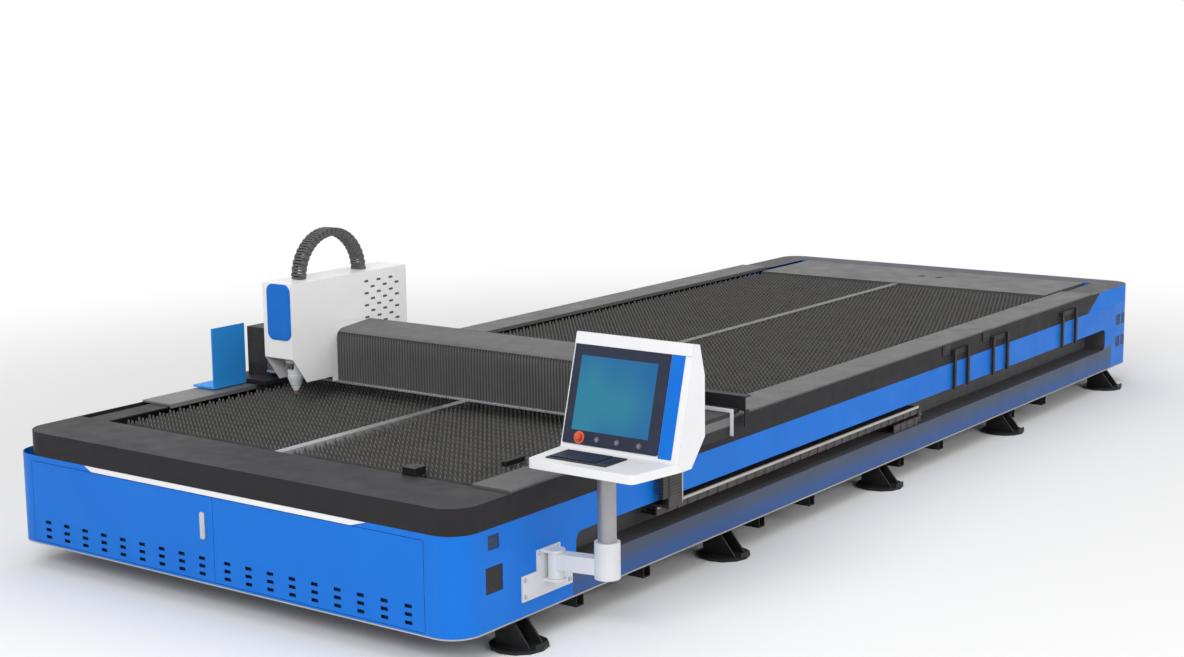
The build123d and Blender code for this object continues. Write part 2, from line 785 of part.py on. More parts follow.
# Display glass in the bezel's window
with BuildPart() as console_display:
    with BuildSketch(panel_plane):
        with Locations((screen_across + screen_width / 2, screen_up + screen_height / 2)):
            Rectangle(screen_width - 1, screen_height - 1)
    extrude(amount=bezel_thickness - 1.5)
keep(console_display, "console_display")

# Keyboard with a key block, sunk in the shelf
with BuildPart() as keyboard:
    bar((keyboard_x[0] + 1, keyboard_x[1] - 1), (keyboard_y[0] + 1, keyboard_y[1] - 1),
        (shelf_top - keyboard_sink, shelf_top + 6))
    bar((keyboard_x[0] + 14, keyboard_x[1] - 14), (keyboard_y[0] + 12, keyboard_y[1] - 12),
        (shelf_top + 6, shelf_top + 12))
keep(keyboard, "keyboard")


def make_button(across_panel, radius, head_radius, head_height):
    # A round cap on the console's face, its stem in the bezel's bore
    with BuildPart() as cap:
        with BuildSketch(panel_plane.offset(button_travel + 1)):
            with Locations((across_panel, button_up)):
                Circle(radius)
        extrude(amount=bezel_thickness + 1)
        if head_radius > radius:
            with BuildSketch(panel_plane.offset(bezel_thickness + button_travel + 2)):
                with Locations((across_panel, button_up)):
                    Circle(head_radius)
            extrude(amount=head_height, taper=8)
    return cap


estop_knob = make_button(knob_across, stem_radius, knob_radius, 16)
keep(estop_knob, "estop_knob")
button_left = make_button(button_across[0], button_radius, 0, 0)
keep(button_left, "button_left")
button_middle = make_button(button_across[1], button_radius, 0, 0)
keep(button_middle, "button_middle")
button_right = make_button(button_across[2], button_radius, 0, 0)
keep(button_right, "button_right")


def bellows_edge(inset):
    # The skin's outline in front of, over and behind the beam, drawn in by inset
    front = gantry_x - bellows_clear + inset
    back = gantry_back_x + bellows_behind - inset
    shoulder_x = front + shoulder_run
    shoulder_z = bellows_front_top + shoulder_rise - inset
    ridge_z = shoulder_z + ridge_slope * (back - shoulder_x)
    return [(front, bellows_bottom), (front, bellows_front_top - inset),
            (shoulder_x, shoulder_z), (back, ridge_z), (back, bellows_back_low)]


def bellows_section(inset):
    # Outer edge out and inner edge back, one skin apart
    skin = bellows_edge(inset)
    inner = [(skin[0][0] + bellows_skin, skin[0][1])]
    inner += [(x + bellows_skin, z - bellows_skin) for x, z in skin[1:3]]
    inner += [(skin[3][0] - bellows_skin, skin[3][1] - bellows_skin),
              (skin[4][0] - bellows_skin, skin[4][1])]
    return skin + inner[::-1]


# Gantry beam: a square tube across the table, with an end frame for each bellows
beam_ends = 1455
frame_plate = 8
with BuildPart() as gantry_beam:
    with BuildSketch(Plane.XZ.offset(-table_centre_y - beam_ends)):
        with Locations(((gantry_x + gantry_back_x) / 2, (gantry_bottom + gantry_top) / 2)):
            Rectangle(beam_depth, beam_section_height)
            Rectangle(beam_depth - 2 * beam_wall, beam_section_height - 2 * beam_wall,
                      mode=Mode.SUBTRACT)
    extrude(amount=2 * beam_ends)
    for frame_y in (long_bellows_end_y - running_gap, short_bellows_end_y + running_gap + frame_plate):
        with BuildSketch(Plane.XZ.offset(-frame_y)):
            with BuildLine():
                Polyline(*bellows_edge(0), (gantry_back_x, bellows_back_low),
                         (gantry_back_x, gantry_bottom), (gantry_x, gantry_bottom),
                         (gantry_x, bellows_bottom), close=True)
            make_face()
        extrude(amount=frame_plate)
keep(gantry_beam, "gantry_beam")


# Saddles: hook shaped carriers round the rail covers, with guide blocks on the rails
saddle_floor_top = rim_top - 48
saddle_floor = saddle_floor_top - 12
block_length = 160
with BuildPart() as saddles:
    for side in sides:
        web_end = drive_x - 60
        bar((saddle_x0, saddle_x1), across(side, web_inner - 52, rim_half_width),
            (saddle_bottom, saddle_top))
        bar((saddle_x0, web_end), across(side, web_inner, web_outer),
            (saddle_floor, saddle_bottom))
        bar((saddle_x0, web_end), across(side, web_inner, rail_offset + 60),
            (saddle_floor, saddle_floor_top))
        for block_x in (saddle_x0 + 20, web_end - 20 - block_length):
            bar((block_x, block_x + block_length), across(side, rail_offset - 35, rail_offset + 35),
                (flange_top + 10, saddle_floor))
            bar((block_x, block_x + block_length),
                across(side, rail_offset - rail_width / 2 - running_gap,
                       rail_offset + rail_width / 2 + running_gap),
                (flange_top + 10, rail_top + running_gap), mode=Mode.SUBTRACT)
        bar((gantry_x, gantry_back_x + 20), across(side, web_inner, beam_ends),
            (saddle_top, gantry_bottom))
        post(drive_x, table_centre_y + side * pinion_offset, saddle_bottom, saddle_top,
             shaft_radius + 1, mode=Mode.SUBTRACT)
keep(saddles, "saddles")

# Left end cover: an upright plate on a foot flange in front of the saddle
cover_plate_y = 1323
cover_foot_y = 1500
cover_plate = 8
cover_foot = 12
left_cover_top = 1138
left_cover_length = 259
with BuildPart() as end_cover_left:
    with BuildSketch(Plane.YZ.offset(saddle_x0 - left_cover_length)):
        with BuildLine():
            Polyline(
                (cover_plate_y, saddle_bottom), (cover_foot_y, saddle_bottom),
                (cover_foot_y, saddle_bottom + cover_foot),
                (cover_plate_y + cover_plate, saddle_bottom + cover_foot),
                (cover_plate_y + cover_plate, left_cover_top),
                (cover_plate_y, left_cover_top), close=True,
            )
        make_face()
    extrude(amount=left_cover_length)
keep(end_cover_left, "end_cover_left")

# Right end cover: a folded sheet over the saddle's rear with a leg outside the rim
leg_bottom = 681
leg_inner = rim_half_width + 30
leg_outer = leg_inner + cover_plate
right_cover_inner = web_inner + 80
right_cover_length = 337
with BuildPart() as end_cover_right:
    with BuildSketch(Plane.YZ.offset(gantry_back_x + 40)):
        with BuildLine():
            Polyline(*profile_points(-1, [
                (right_cover_inner, saddle_top), (leg_inner, saddle_top),
                (leg_inner, leg_bottom), (leg_outer, leg_bottom),
                (leg_outer, saddle_top + cover_plate), (right_cover_inner, saddle_top + cover_plate),
            ]), close=True)
        make_face()
    extrude(amount=right_cover_length)
keep(end_cover_right, "end_cover_right")


def make_bellows(start_y, end_y, pleats):
    # A zigzag skin lofted from ridge to valley and back
    step = (end_y - start_y) / (2 * pleats)
    with BuildPart() as skin:
        for number in range(2 * pleats + 1):
            inset = bellows_pleat * (number % 2)
            with BuildSketch(Plane.XZ.offset(-(start_y + number * step))):
                with BuildLine():
                    Polyline(*bellows_section(inset), close=True)
                make_face()
        loft(ruled=True)
    return skin


bellows_long = make_bellows(long_bellows_end_y, housing_right_y - 1, long_pleats)
keep(bellows_long, "bellows_long")
bellows_short = make_bellows(housing_left_y + 1, short_bellows_end_y, short_pleats)
keep(bellows_short, "bellows_short")

# Rails and rack bar on the beam
front_rail_z = gantry_bottom + 35
top_rail_x = gantry_x + 170
rail_stand = 20
y_rack_low = gantry_bottom + 140
with BuildPart() as beam_rails:
    run_y = (table_centre_y - web_inner, short_bellows_end_y - 1)
    bar((gantry_x - rail_stand, gantry_x), run_y,
        (front_rail_z - rail_width / 2, front_rail_z + rail_width / 2))
    bar((top_rail_x - rail_width / 2, top_rail_x + rail_width / 2), run_y,
        (gantry_top, gantry_top + rail_stand))
    bar((gantry_x - 20, gantry_x), run_y, (y_rack_low, y_rack_low + 22))
keep(beam_rails, "beam_rails")

# Drive units for travel along the bed, on the saddles
with BuildPart() as x_drives:
    for side in sides:
        with BuildSketch(Plane.XY.offset(saddle_top)):
            with Locations((drive_x, table_centre_y + side * pinion_offset)):
                RectangleRounded(110, 110, 14)
        extrude(amount=72)
keep(x_drives, "x_drives")

# Chain arm: down outside the rim and in over the chain's end
arm_x = (-2483, -2370)
arm_y = -half_width - 65
arm_tip_y = -1440
arm_plate = 12
upper_top = slot_floor + running_gap + 2 * chain_height + 20
with BuildPart() as chain_arm:
    with BuildSketch(Plane.YZ.offset(arm_x[0])):
        with BuildLine():
            Polyline(
                (-half_width, saddle_top), (arm_y, saddle_top), (arm_y, upper_top + running_gap),
                (arm_tip_y, upper_top + running_gap), (arm_tip_y, upper_top + arm_plate),
                (arm_y + arm_plate, upper_top + arm_plate),
                (arm_y + arm_plate, saddle_top - arm_plate),
                (-half_width, saddle_top - arm_plate), close=True,
            )
        make_face()
    extrude(amount=arm_x[1] - arm_x[0])
keep(chain_arm, "chain_arm")

chain_y = -half_width + 10


def make_chain_run(start_x, end_x, low):
    # Straight run of links, with grooves across its top and bottom
    with BuildPart() as run:
        bar((start_x, end_x), (chain_y, chain_y + chain_width), (low, low + chain_height))
        count = int((end_x - start_x) / chain_link)
        grooves = [start_x + (number + 1) * chain_link for number in range(count)
                   if start_x + (number + 1) * chain_link < end_x - chain_groove]
        with Locations([(x, chain_y + chain_width / 2, low + chain_height) for x in grooves]):
            Box(chain_groove, chain_width, 2 * chain_groove_depth, mode=Mode.SUBTRACT)
    return run


upper_low = upper_top - chain_height
lower_low = slot_floor + running_gap
chain_upper_run = make_chain_run(arm_x[0], chain_loop_x - running_gap, upper_low)
keep(chain_upper_run, "chain_upper_run")
chain_lower_run = make_chain_run(chain_fixed_x, chain_loop_x - running_gap, lower_low)
keep(chain_lower_run, "chain_lower_run")

# Chain loop: the half turn between the two runs
loop_middle = (upper_top + lower_low) / 2
loop_radius = (upper_top - lower_low) / 2
with BuildPart() as chain_loop:
    with BuildSketch(Plane.XZ.offset(-chain_y - chain_width)):
        with Locations((chain_loop_x, loop_middle)):
            RegularPolygon(loop_radius, 16)
            RegularPolygon(loop_radius - chain_height, 8, mode=Mode.SUBTRACT)
        with Locations((chain_loop_x - loop_radius, loop_middle)):
            Rectangle(2 * loop_radius, 3 * loop_radius, mode=Mode.SUBTRACT)
    extrude(amount=chain_width)
keep(chain_loop, "chain_loop")


def make_pinion(hub, axis_dir, gear_start, shaft_end):
    # A toothed wheel on its shaft, drawn along axis_dir from the hub point
    tip = pinion_pitch_radius + pinion_addendum
    root = pinion_pitch_radius - 1.25 * pinion_addendum
    wheel_plane = Plane(hub, z_dir=axis_dir)
    quarter = 360 / pinion_teeth / 4
    with BuildPart() as pinion:
        with BuildSketch(wheel_plane.offset(gear_start)):
            with BuildLine():
                outline = []
                for number in range(pinion_teeth):
                    middle = 4 * quarter * number
                    for turn, radius in ((-1.4, root), (-0.6, tip), (0.6, tip), (1.4, root)):
                        angle = math.radians(middle + turn * quarter)
                        outline.append((radius * math.cos(angle), radius * math.sin(angle)))
                Polyline(*outline, close=True)
            make_face()
        extrude(amount=pinion_thickness)
        with BuildSketch(wheel_plane.offset(gear_start + pinion_thickness)):
            Circle(shaft_radius)
        extrude(amount=shaft_end - gear_start - pinion_thickness)
    return pinion


gear_low = flange_top + 1
x_pinion_right = make_pinion((drive_x, table_centre_y - pinion_offset, 0), (0, 0, 1), gear_low,
                             saddle_top - running_gap)
keep(x_pinion_right, "x_pinion_right")
x_pinion_left = make_pinion((drive_x, table_centre_y + pinion_offset, 0), (0, 0, 1), gear_low,
                            saddle_top - running_gap)
keep(x_pinion_left, "x_pinion_left")

# Carriage: a plate before the beam and one over it, with blocks on both rails
plate_back_x = gantry_x - 50
plate_front_x = plate_back_x - 20
y_pinion_z = y_rack_low - pinion_pitch_radius - pinion_addendum - running_gap
carriage_top = gantry_top + rail_stand + 28
carriage_y_range = (housing_right_y + 14, housing_left_y - 14)
housing_notch_top = 1190
stand_grip = 60
with BuildPart() as carriage_plate:
    bar((plate_front_x, plate_back_x), carriage_y_range, (front_rail_z - 38, carriage_top))
    bar((plate_front_x, gantry_back_x - 20), carriage_y_range, (carriage_top - 20, carriage_top))
    for block_y in (carriage_y_range[0], carriage_y_range[1] - 70):
        bar((plate_back_x, gantry_x - 5), (block_y, block_y + 70),
            (front_rail_z - 32, front_rail_z + 32))
        bar((gantry_x - rail_stand - running_gap, gantry_x - 5), (block_y, block_y + 70),
            (front_rail_z - rail_width / 2 - running_gap,
             front_rail_z + rail_width / 2 + running_gap), mode=Mode.SUBTRACT)
        bar((top_rail_x - 35, top_rail_x + 35), (block_y, block_y + 70),
            (gantry_top + 5, carriage_top - 20))
        bar((top_rail_x - rail_width / 2 - running_gap, top_rail_x + rail_width / 2 + running_gap),
            (block_y, block_y + 70), (gantry_top + 5, gantry_top + rail_stand + running_gap),
            mode=Mode.SUBTRACT)
    for stand_x in (gantry_x + 20, gantry_back_x - 90):
        bar((stand_x, stand_x + 50), (housing_right_y + housing_wall + running_gap,
                                      housing_left_y - housing_wall - running_gap),
            (carriage_top, housing_notch_top + stand_grip))
    with BuildSketch(Plane.YZ.offset(plate_front_x)):
        with Locations((carriage_y, y_pinion_z)):
            Circle(shaft_radius + 1)
    extrude(amount=plate_back_x - plate_front_x, mode=Mode.SUBTRACT)
keep(carriage_plate, "carriage_plate")

# Head housing: a folded cover over the carriage, cut to clear the beam's bellows
housing_notch = (gantry_x - 87, gantry_back_x + 35)
housing_rear_bottom = 1000
with BuildPart() as head_housing:
    with BuildSketch(Plane.XZ.offset(-housing_left_y)):
        with BuildLine():
            Polyline(
                (housing_front_x, housing_top), (housing_front_x, housing_chin),
                (-2767, housing_bottom), (housing_notch[0], housing_bottom),
                (housing_notch[0], housing_notch_top), (housing_notch[1], housing_notch_top),
                (housing_notch[1], housing_rear_bottom), (housing_back_x, housing_rear_bottom),
                (housing_back_x, housing_top), close=True,
            )
        make_face()
    extrude(amount=carriage_width)
    with BuildSketch(Plane.XZ.offset(-housing_left_y + housing_wall)):
        with BuildLine():
            Polyline(
                (housing_front_x + housing_wall, housing_top - housing_wall),
                (housing_front_x + housing_wall, housing_chin - 60),
                (-2790, housing_bottom - 20), (housing_notch[0] + 1, housing_bottom - 20),
                (housing_notch[0] + 1, housing_notch_top), (housing_notch[1] - 1, housing_notch_top),
                (housing_notch[1] - 1, housing_rear_bottom - 20),
                (housing_back_x - housing_wall, housing_rear_bottom - 20),
                (housing_back_x - housing_wall, housing_top - housing_wall), close=True,
            )
        make_face()
    extrude(amount=carriage_width - 2 * housing_wall, mode=Mode.SUBTRACT)
keep(head_housing, "head_housing")

# Front badge plate on the housing, left plain
with BuildPart() as head_front_plate:
    with BuildSketch(Plane.YZ.offset(housing_front_x - 8)):
        with Locations((carriage_y - 15, 1295)):
            RectangleRounded(180, 318, 24)
    extrude(amount=8)
    chamfer(head_front_plate.edges().group_by(Axis.X)[0], 3)
keep(head_front_plate, "head_front_plate")

# Arch chain: links round a half circle on the housing's top
arch_middle_x = (arch_front_x + arch_back_x) / 2
arch_radius = (arch_back_x - arch_front_x) / 2
arch_step = 180 / arch_links
link_length = 2 * arch_radius * math.tan(math.radians(arch_step / 2)) + 6
with BuildPart() as arch_chain:
    for number in range(arch_links):
        angle = math.radians(arch_step * (number + 0.5))
        link_plane = Plane(
            (arch_middle_x + arch_radius * math.cos(angle), carriage_y,
             housing_top + arch_radius * math.sin(angle)),
            x_dir=(-math.sin(angle), 0, math.cos(angle)), z_dir=(0, 1, 0))
        width = arch_width - 8 * (number % 2)
        height = arch_thickness - 6 * (number % 2)
        with BuildSketch(link_plane.offset(-width / 2)):
            Rectangle(link_length, height)
        extrude(amount=width)
    bar((arch_front_x - 90, arch_back_x + 90), (carriage_y - 60, carriage_y + 60),
        (housing_top - 60, housing_top), mode=Mode.SUBTRACT)
keep(arch_chain, "arch_chain")

# Drive units on the carriage: one for travel across, one for height
slide_top = 1180
z_drive_low = slide_top + head_rise + 6
with BuildPart() as carriage_drives:
    with BuildSketch(Plane.YZ.offset(plate_front_x)):
        with Locations((carriage_y, y_pinion_z)):
            RectangleRounded(76, 76, 10)
    extrude(amount=-20)
    bar((plate_front_x - 20, plate_front_x), (carriage_y - 90, carriage_y + 90),
        (carriage_top, z_drive_low + 110))
    with BuildSketch(Plane.XY.offset(z_drive_low)):
        with Locations((plate_front_x - 65, carriage_y)):
            RectangleRounded(90, 90, 10)
    extrude(amount=110)
keep(carriage_drives, "carriage_drives")

y_pinion = make_pinion((0, carriage_y, y_pinion_z), (-1, 0, 0), -gantry_x + 1,
                       -plate_front_x - running_gap)
keep(y_pinion, "y_pinion")

# Height screw under its drive
screw_low = 1010
with BuildPart() as z_screw:
    post(plate_front_x - 65, carriage_y, screw_low, z_drive_low - running_gap, 12)
keep(z_screw, "z_screw")

# Height slide: a plate and a nut block round the screw
slide_x = plate_front_x - 96
with BuildPart() as z_slide:
    bar((slide_x - 12, slide_x), (carriage_y - 70, carriage_y + 70), (1000, slide_top))
    bar((slide_x, plate_front_x - 40), (carriage_y - 34, carriage_y + 34), (1040, 1090))
    post(plate_front_x - 65, carriage_y, 1040, 1090, 12.3, mode=Mode.SUBTRACT)
keep(z_slide, "z_slide")

# Cutting head: a turned body with a collimator above and a cone below
with BuildPart() as cutting_head:
    with BuildSketch(Plane.XZ.offset(-carriage_y)):
        with BuildLine():
            Polyline(
                (head_x, 826), (head_x + 16, 826), (head_x + 30, 868), (head_x + 46, 900),
                (head_x + 46, 985), (head_x + 56, 992), (head_x + 56, 1100), (head_x + 36, 1112),
                (head_x + 36, 1180), (head_x, 1180), close=True,
            )
        make_face()
    revolve(axis=Axis((head_x, carriage_y, 0), (0, 0, 1)))
    bar((head_x + 50, slide_x - 12), (carriage_y - 40, carriage_y + 40), (1010, 1090))
keep(cutting_head, "cutting_head")

# Nozzle: a small turned tip with its bore
with BuildPart() as nozzle:
    with BuildSketch(Plane.XZ.offset(-carriage_y)):
        with BuildLine():
            Polyline(
                (head_x + 1.5, nozzle_tip), (head_x + 4, nozzle_tip), (head_x + 11, nozzle_tip + 22),
                (head_x + 14, nozzle_tip + 22), (head_x + 14, 826), (head_x + 6, 826), close=True,
            )
        make_face()
    revolve(axis=Axis((head_x, carriage_y, 0), (0, 0, 1)))
keep(nozzle, "nozzle")
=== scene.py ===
from itertools import product
from math import cos, pi, radians, sin, tan
import bmesh
import bpy
from mathutils import Matrix, Vector


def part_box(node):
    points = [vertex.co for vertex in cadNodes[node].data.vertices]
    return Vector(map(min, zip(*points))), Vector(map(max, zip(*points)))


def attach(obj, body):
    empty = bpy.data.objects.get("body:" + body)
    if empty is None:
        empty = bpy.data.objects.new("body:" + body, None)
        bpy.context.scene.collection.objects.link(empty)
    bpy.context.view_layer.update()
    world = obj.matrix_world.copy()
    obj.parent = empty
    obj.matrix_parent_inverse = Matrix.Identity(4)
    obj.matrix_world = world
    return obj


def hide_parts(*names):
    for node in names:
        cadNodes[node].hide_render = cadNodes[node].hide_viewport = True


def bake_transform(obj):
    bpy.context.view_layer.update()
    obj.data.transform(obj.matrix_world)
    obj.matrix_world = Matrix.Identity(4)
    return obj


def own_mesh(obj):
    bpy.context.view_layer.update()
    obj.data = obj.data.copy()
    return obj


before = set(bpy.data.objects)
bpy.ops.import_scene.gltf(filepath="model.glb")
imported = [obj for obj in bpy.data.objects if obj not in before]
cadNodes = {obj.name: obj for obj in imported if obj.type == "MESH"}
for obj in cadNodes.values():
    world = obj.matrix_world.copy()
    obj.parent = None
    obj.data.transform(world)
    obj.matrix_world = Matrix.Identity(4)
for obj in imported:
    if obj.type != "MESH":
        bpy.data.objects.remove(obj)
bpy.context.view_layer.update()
print("frame loaded:", len(cadNodes), "solids' nodes")


# Colours are named as they look on screen, 0 to 255
def tone(red, green, blue):
    def linear(value):
        value = value / 255
        return value / 12.92 if value <= 0.04045 else ((value + 0.055) / 1.055) ** 2.4
    return (linear(red), linear(green), linear(blue), 1.0)


# Camera, as fitted to the bed's edges in the picture
cameraLook = {
    "place": (-10.523, -7.041, 3.045),
    "heading": 36.55,  # degrees from +X towards +Y
    "pitch": 9.508,  # degrees down
    "roll": -0.747,
    "lens": 59.14,
    "shift": (0.0109, -0.009),
}


def aimCamera(look):
    heading, pitch, roll = (radians(look[k]) for k in ("heading", "pitch", "roll"))
    forward = Vector((cos(heading) * cos(pitch), sin(heading) * cos(pitch),
                      -sin(pitch)))
    level = Vector((sin(heading), -cos(heading), 0))
    above = level.cross(forward)
    right = cos(roll) * level + sin(roll) * above
    up = -sin(roll) * level + cos(roll) * above
    data = bpy.data.cameras.new("camera")
    data.sensor_width = 36
    data.lens = look["lens"]
    data.shift_x, data.shift_y = look["shift"]
    data.clip_end = 300
    camera = bpy.data.objects.new("camera", data)
    turn = Matrix((right, up, -forward)).transposed().to_4x4()
    camera.matrix_world = Matrix.Translation(look["place"]) @ turn
    bpy.context.collection.objects.link(camera)
    bpy.context.scene.camera = camera


aimCamera(cameraLook)

# Studio: even sky, one broad light overhead and one each at the front and the side
studio = {
    "skyLight": 0.52,
    "backdrop": 1.0,
    "white": (1, 1, 1, 1),
    "overhead": {"place": (0.0, 1.0, 9.0), "aim": (0.0, 0.0, 0.0), "size": (18, 12), "watts": 290},
    "front": {"place": (-11.5, -3.5, 6.5), "aim": (-2.0, 0.0, 0.6), "size": (6, 4), "watts": 520},
    "side": {"place": (1.0, -13.0, 5.5), "aim": (0.5, -1.0, 0.4), "size": (12, 4), "watts": 545},
    "floorTone": tone(247, 247, 247),
    "floorRadius": 120,
    "floorFade": (3.5, 9.5),  # metres from the middle where the floor turns into backdrop
}


def areaLight(name, look):
    data = bpy.data.lights.new(name, "AREA")
    data.shape = "RECTANGLE"
    data.size, data.size_y = look["size"]
    data.energy = look["watts"]
    light = bpy.data.objects.new(name, data)
    place = Vector(look["place"])
    light.matrix_world = Matrix.Translation(place) @ (
        (Vector(look["aim"]) - place).to_track_quat("-Z", "Y").to_matrix().to_4x4())
    light.visible_camera = False
    light.visible_glossy = False
    bpy.context.collection.objects.link(light)


class Graph:
    # A node tree built from empty. An input takes a value or another node's output
    def __init__(self, owner):
        owner.use_nodes = True
        self.nodes, self.links = owner.node_tree.nodes, owner.node_tree.links
        self.nodes.clear()

    def add(self, kind, inputs=(), **fields):
        node = self.nodes.new("ShaderNode" + kind)
        for field, value in fields.items():
            setattr(node, field, value)
        for socket, value in dict(inputs).items():
            if isinstance(value, bpy.types.NodeSocket):
                self.links.new(value, node.inputs[socket])
            else:
                node.inputs[socket].default_value = value
        return node

    def reckon(self, operation, *values):
        return self.add("Math", enumerate(values), operation=operation).outputs[0]

    def vectors(self, operation, *values):
        return self.add("VectorMath", enumerate(values), operation=operation).outputs["Value"]


def backdropRay(graph):
    # 1 for rays that look at the backdrop directly, in gloss or through glass
    path = graph.add("LightPath").outputs
    either = graph.reckon("MAXIMUM", path["Is Camera Ray"], path["Is Glossy Ray"])
    return graph.reckon("MAXIMUM", either, path["Is Transmission Ray"])


def makeSky(look):
    world = bpy.data.worlds.new("studioSky")
    bpy.context.scene.world = world
    graph = Graph(world)
    sky = graph.add("Background", {"Color": look["white"], "Strength": look["skyLight"]})
    plain = graph.add("Background", {"Color": look["white"], "Strength": look["backdrop"]})
    blend = graph.add("MixShader", {0: backdropRay(graph), 1: sky.outputs[0],
                                    2: plain.outputs[0]})
    graph.add("OutputWorld", {"Surface": blend.outputs[0]})


def makeFloor(look):
    bm = bmesh.new()
    bmesh.ops.create_circle(bm, cap_ends=True, segments=96, radius=look["floorRadius"])
    data = bpy.data.meshes.new("floor")
    bm.to_mesh(data)
    bm.free()
    floor = bpy.data.objects.new("floor", data)
    bpy.context.collection.objects.link(floor)
    mat = bpy.data.materials.new("floorPaint")
    graph = Graph(mat)
    paint = graph.add("BsdfDiffuse", {"Color": look["floorTone"]})
    glow = graph.add("Emission", {"Color": look["white"], "Strength": look["backdrop"]})
    start, end = look["floorFade"]
    far = graph.vectors("LENGTH", graph.add("TexCoord").outputs["Object"])
    fade = graph.add("MapRange", {"Value": far, "From Min": start, "From Max": end},
                     interpolation_type="SMOOTHSTEP")
    share = graph.reckon("MULTIPLY", fade.outputs["Result"], backdropRay(graph))
    blend = graph.add("MixShader", {0: share, 1: paint.outputs[0], 2: glow.outputs[0]})
    graph.add("OutputMaterial", {"Surface": blend.outputs[0]})
    data.materials.append(mat)


makeSky(studio)
for lightName in ("overhead", "front", "side"):
    areaLight(lightName + "Light", studio[lightName])
makeFloor(studio)
bpy.context.scene.view_settings.view_transform = "Standard"
print("studio ready")

# What a finish has where its row says nothing else
plainFinish = {
    "metal": 0.0,
    "specular": 0.5,
    "coat": 0.0,
    "coatRough": 0.25,
    "stretch": (1, 1, 1),  # of the clouds, along X, Y and Z
    "turned": (0.02, 0.3),  # how far an edge turns where wear starts, and where it is full
    "wearCloud": 60,
    "tints": [],  # (direction, where it starts, where it is full, tone, sides only)
}
# Rim tints: the first darkens every upright face as painted shade, the second turns upright faces blue
# beyond a slanted line towards the rear
rimShadeAndBlueTints = [((0, 0, 1), -1, 0, (40, 38, 40), True),
            ((1, 0, -1.77), 2.103, 2.107, (20, 116, 214), True)]

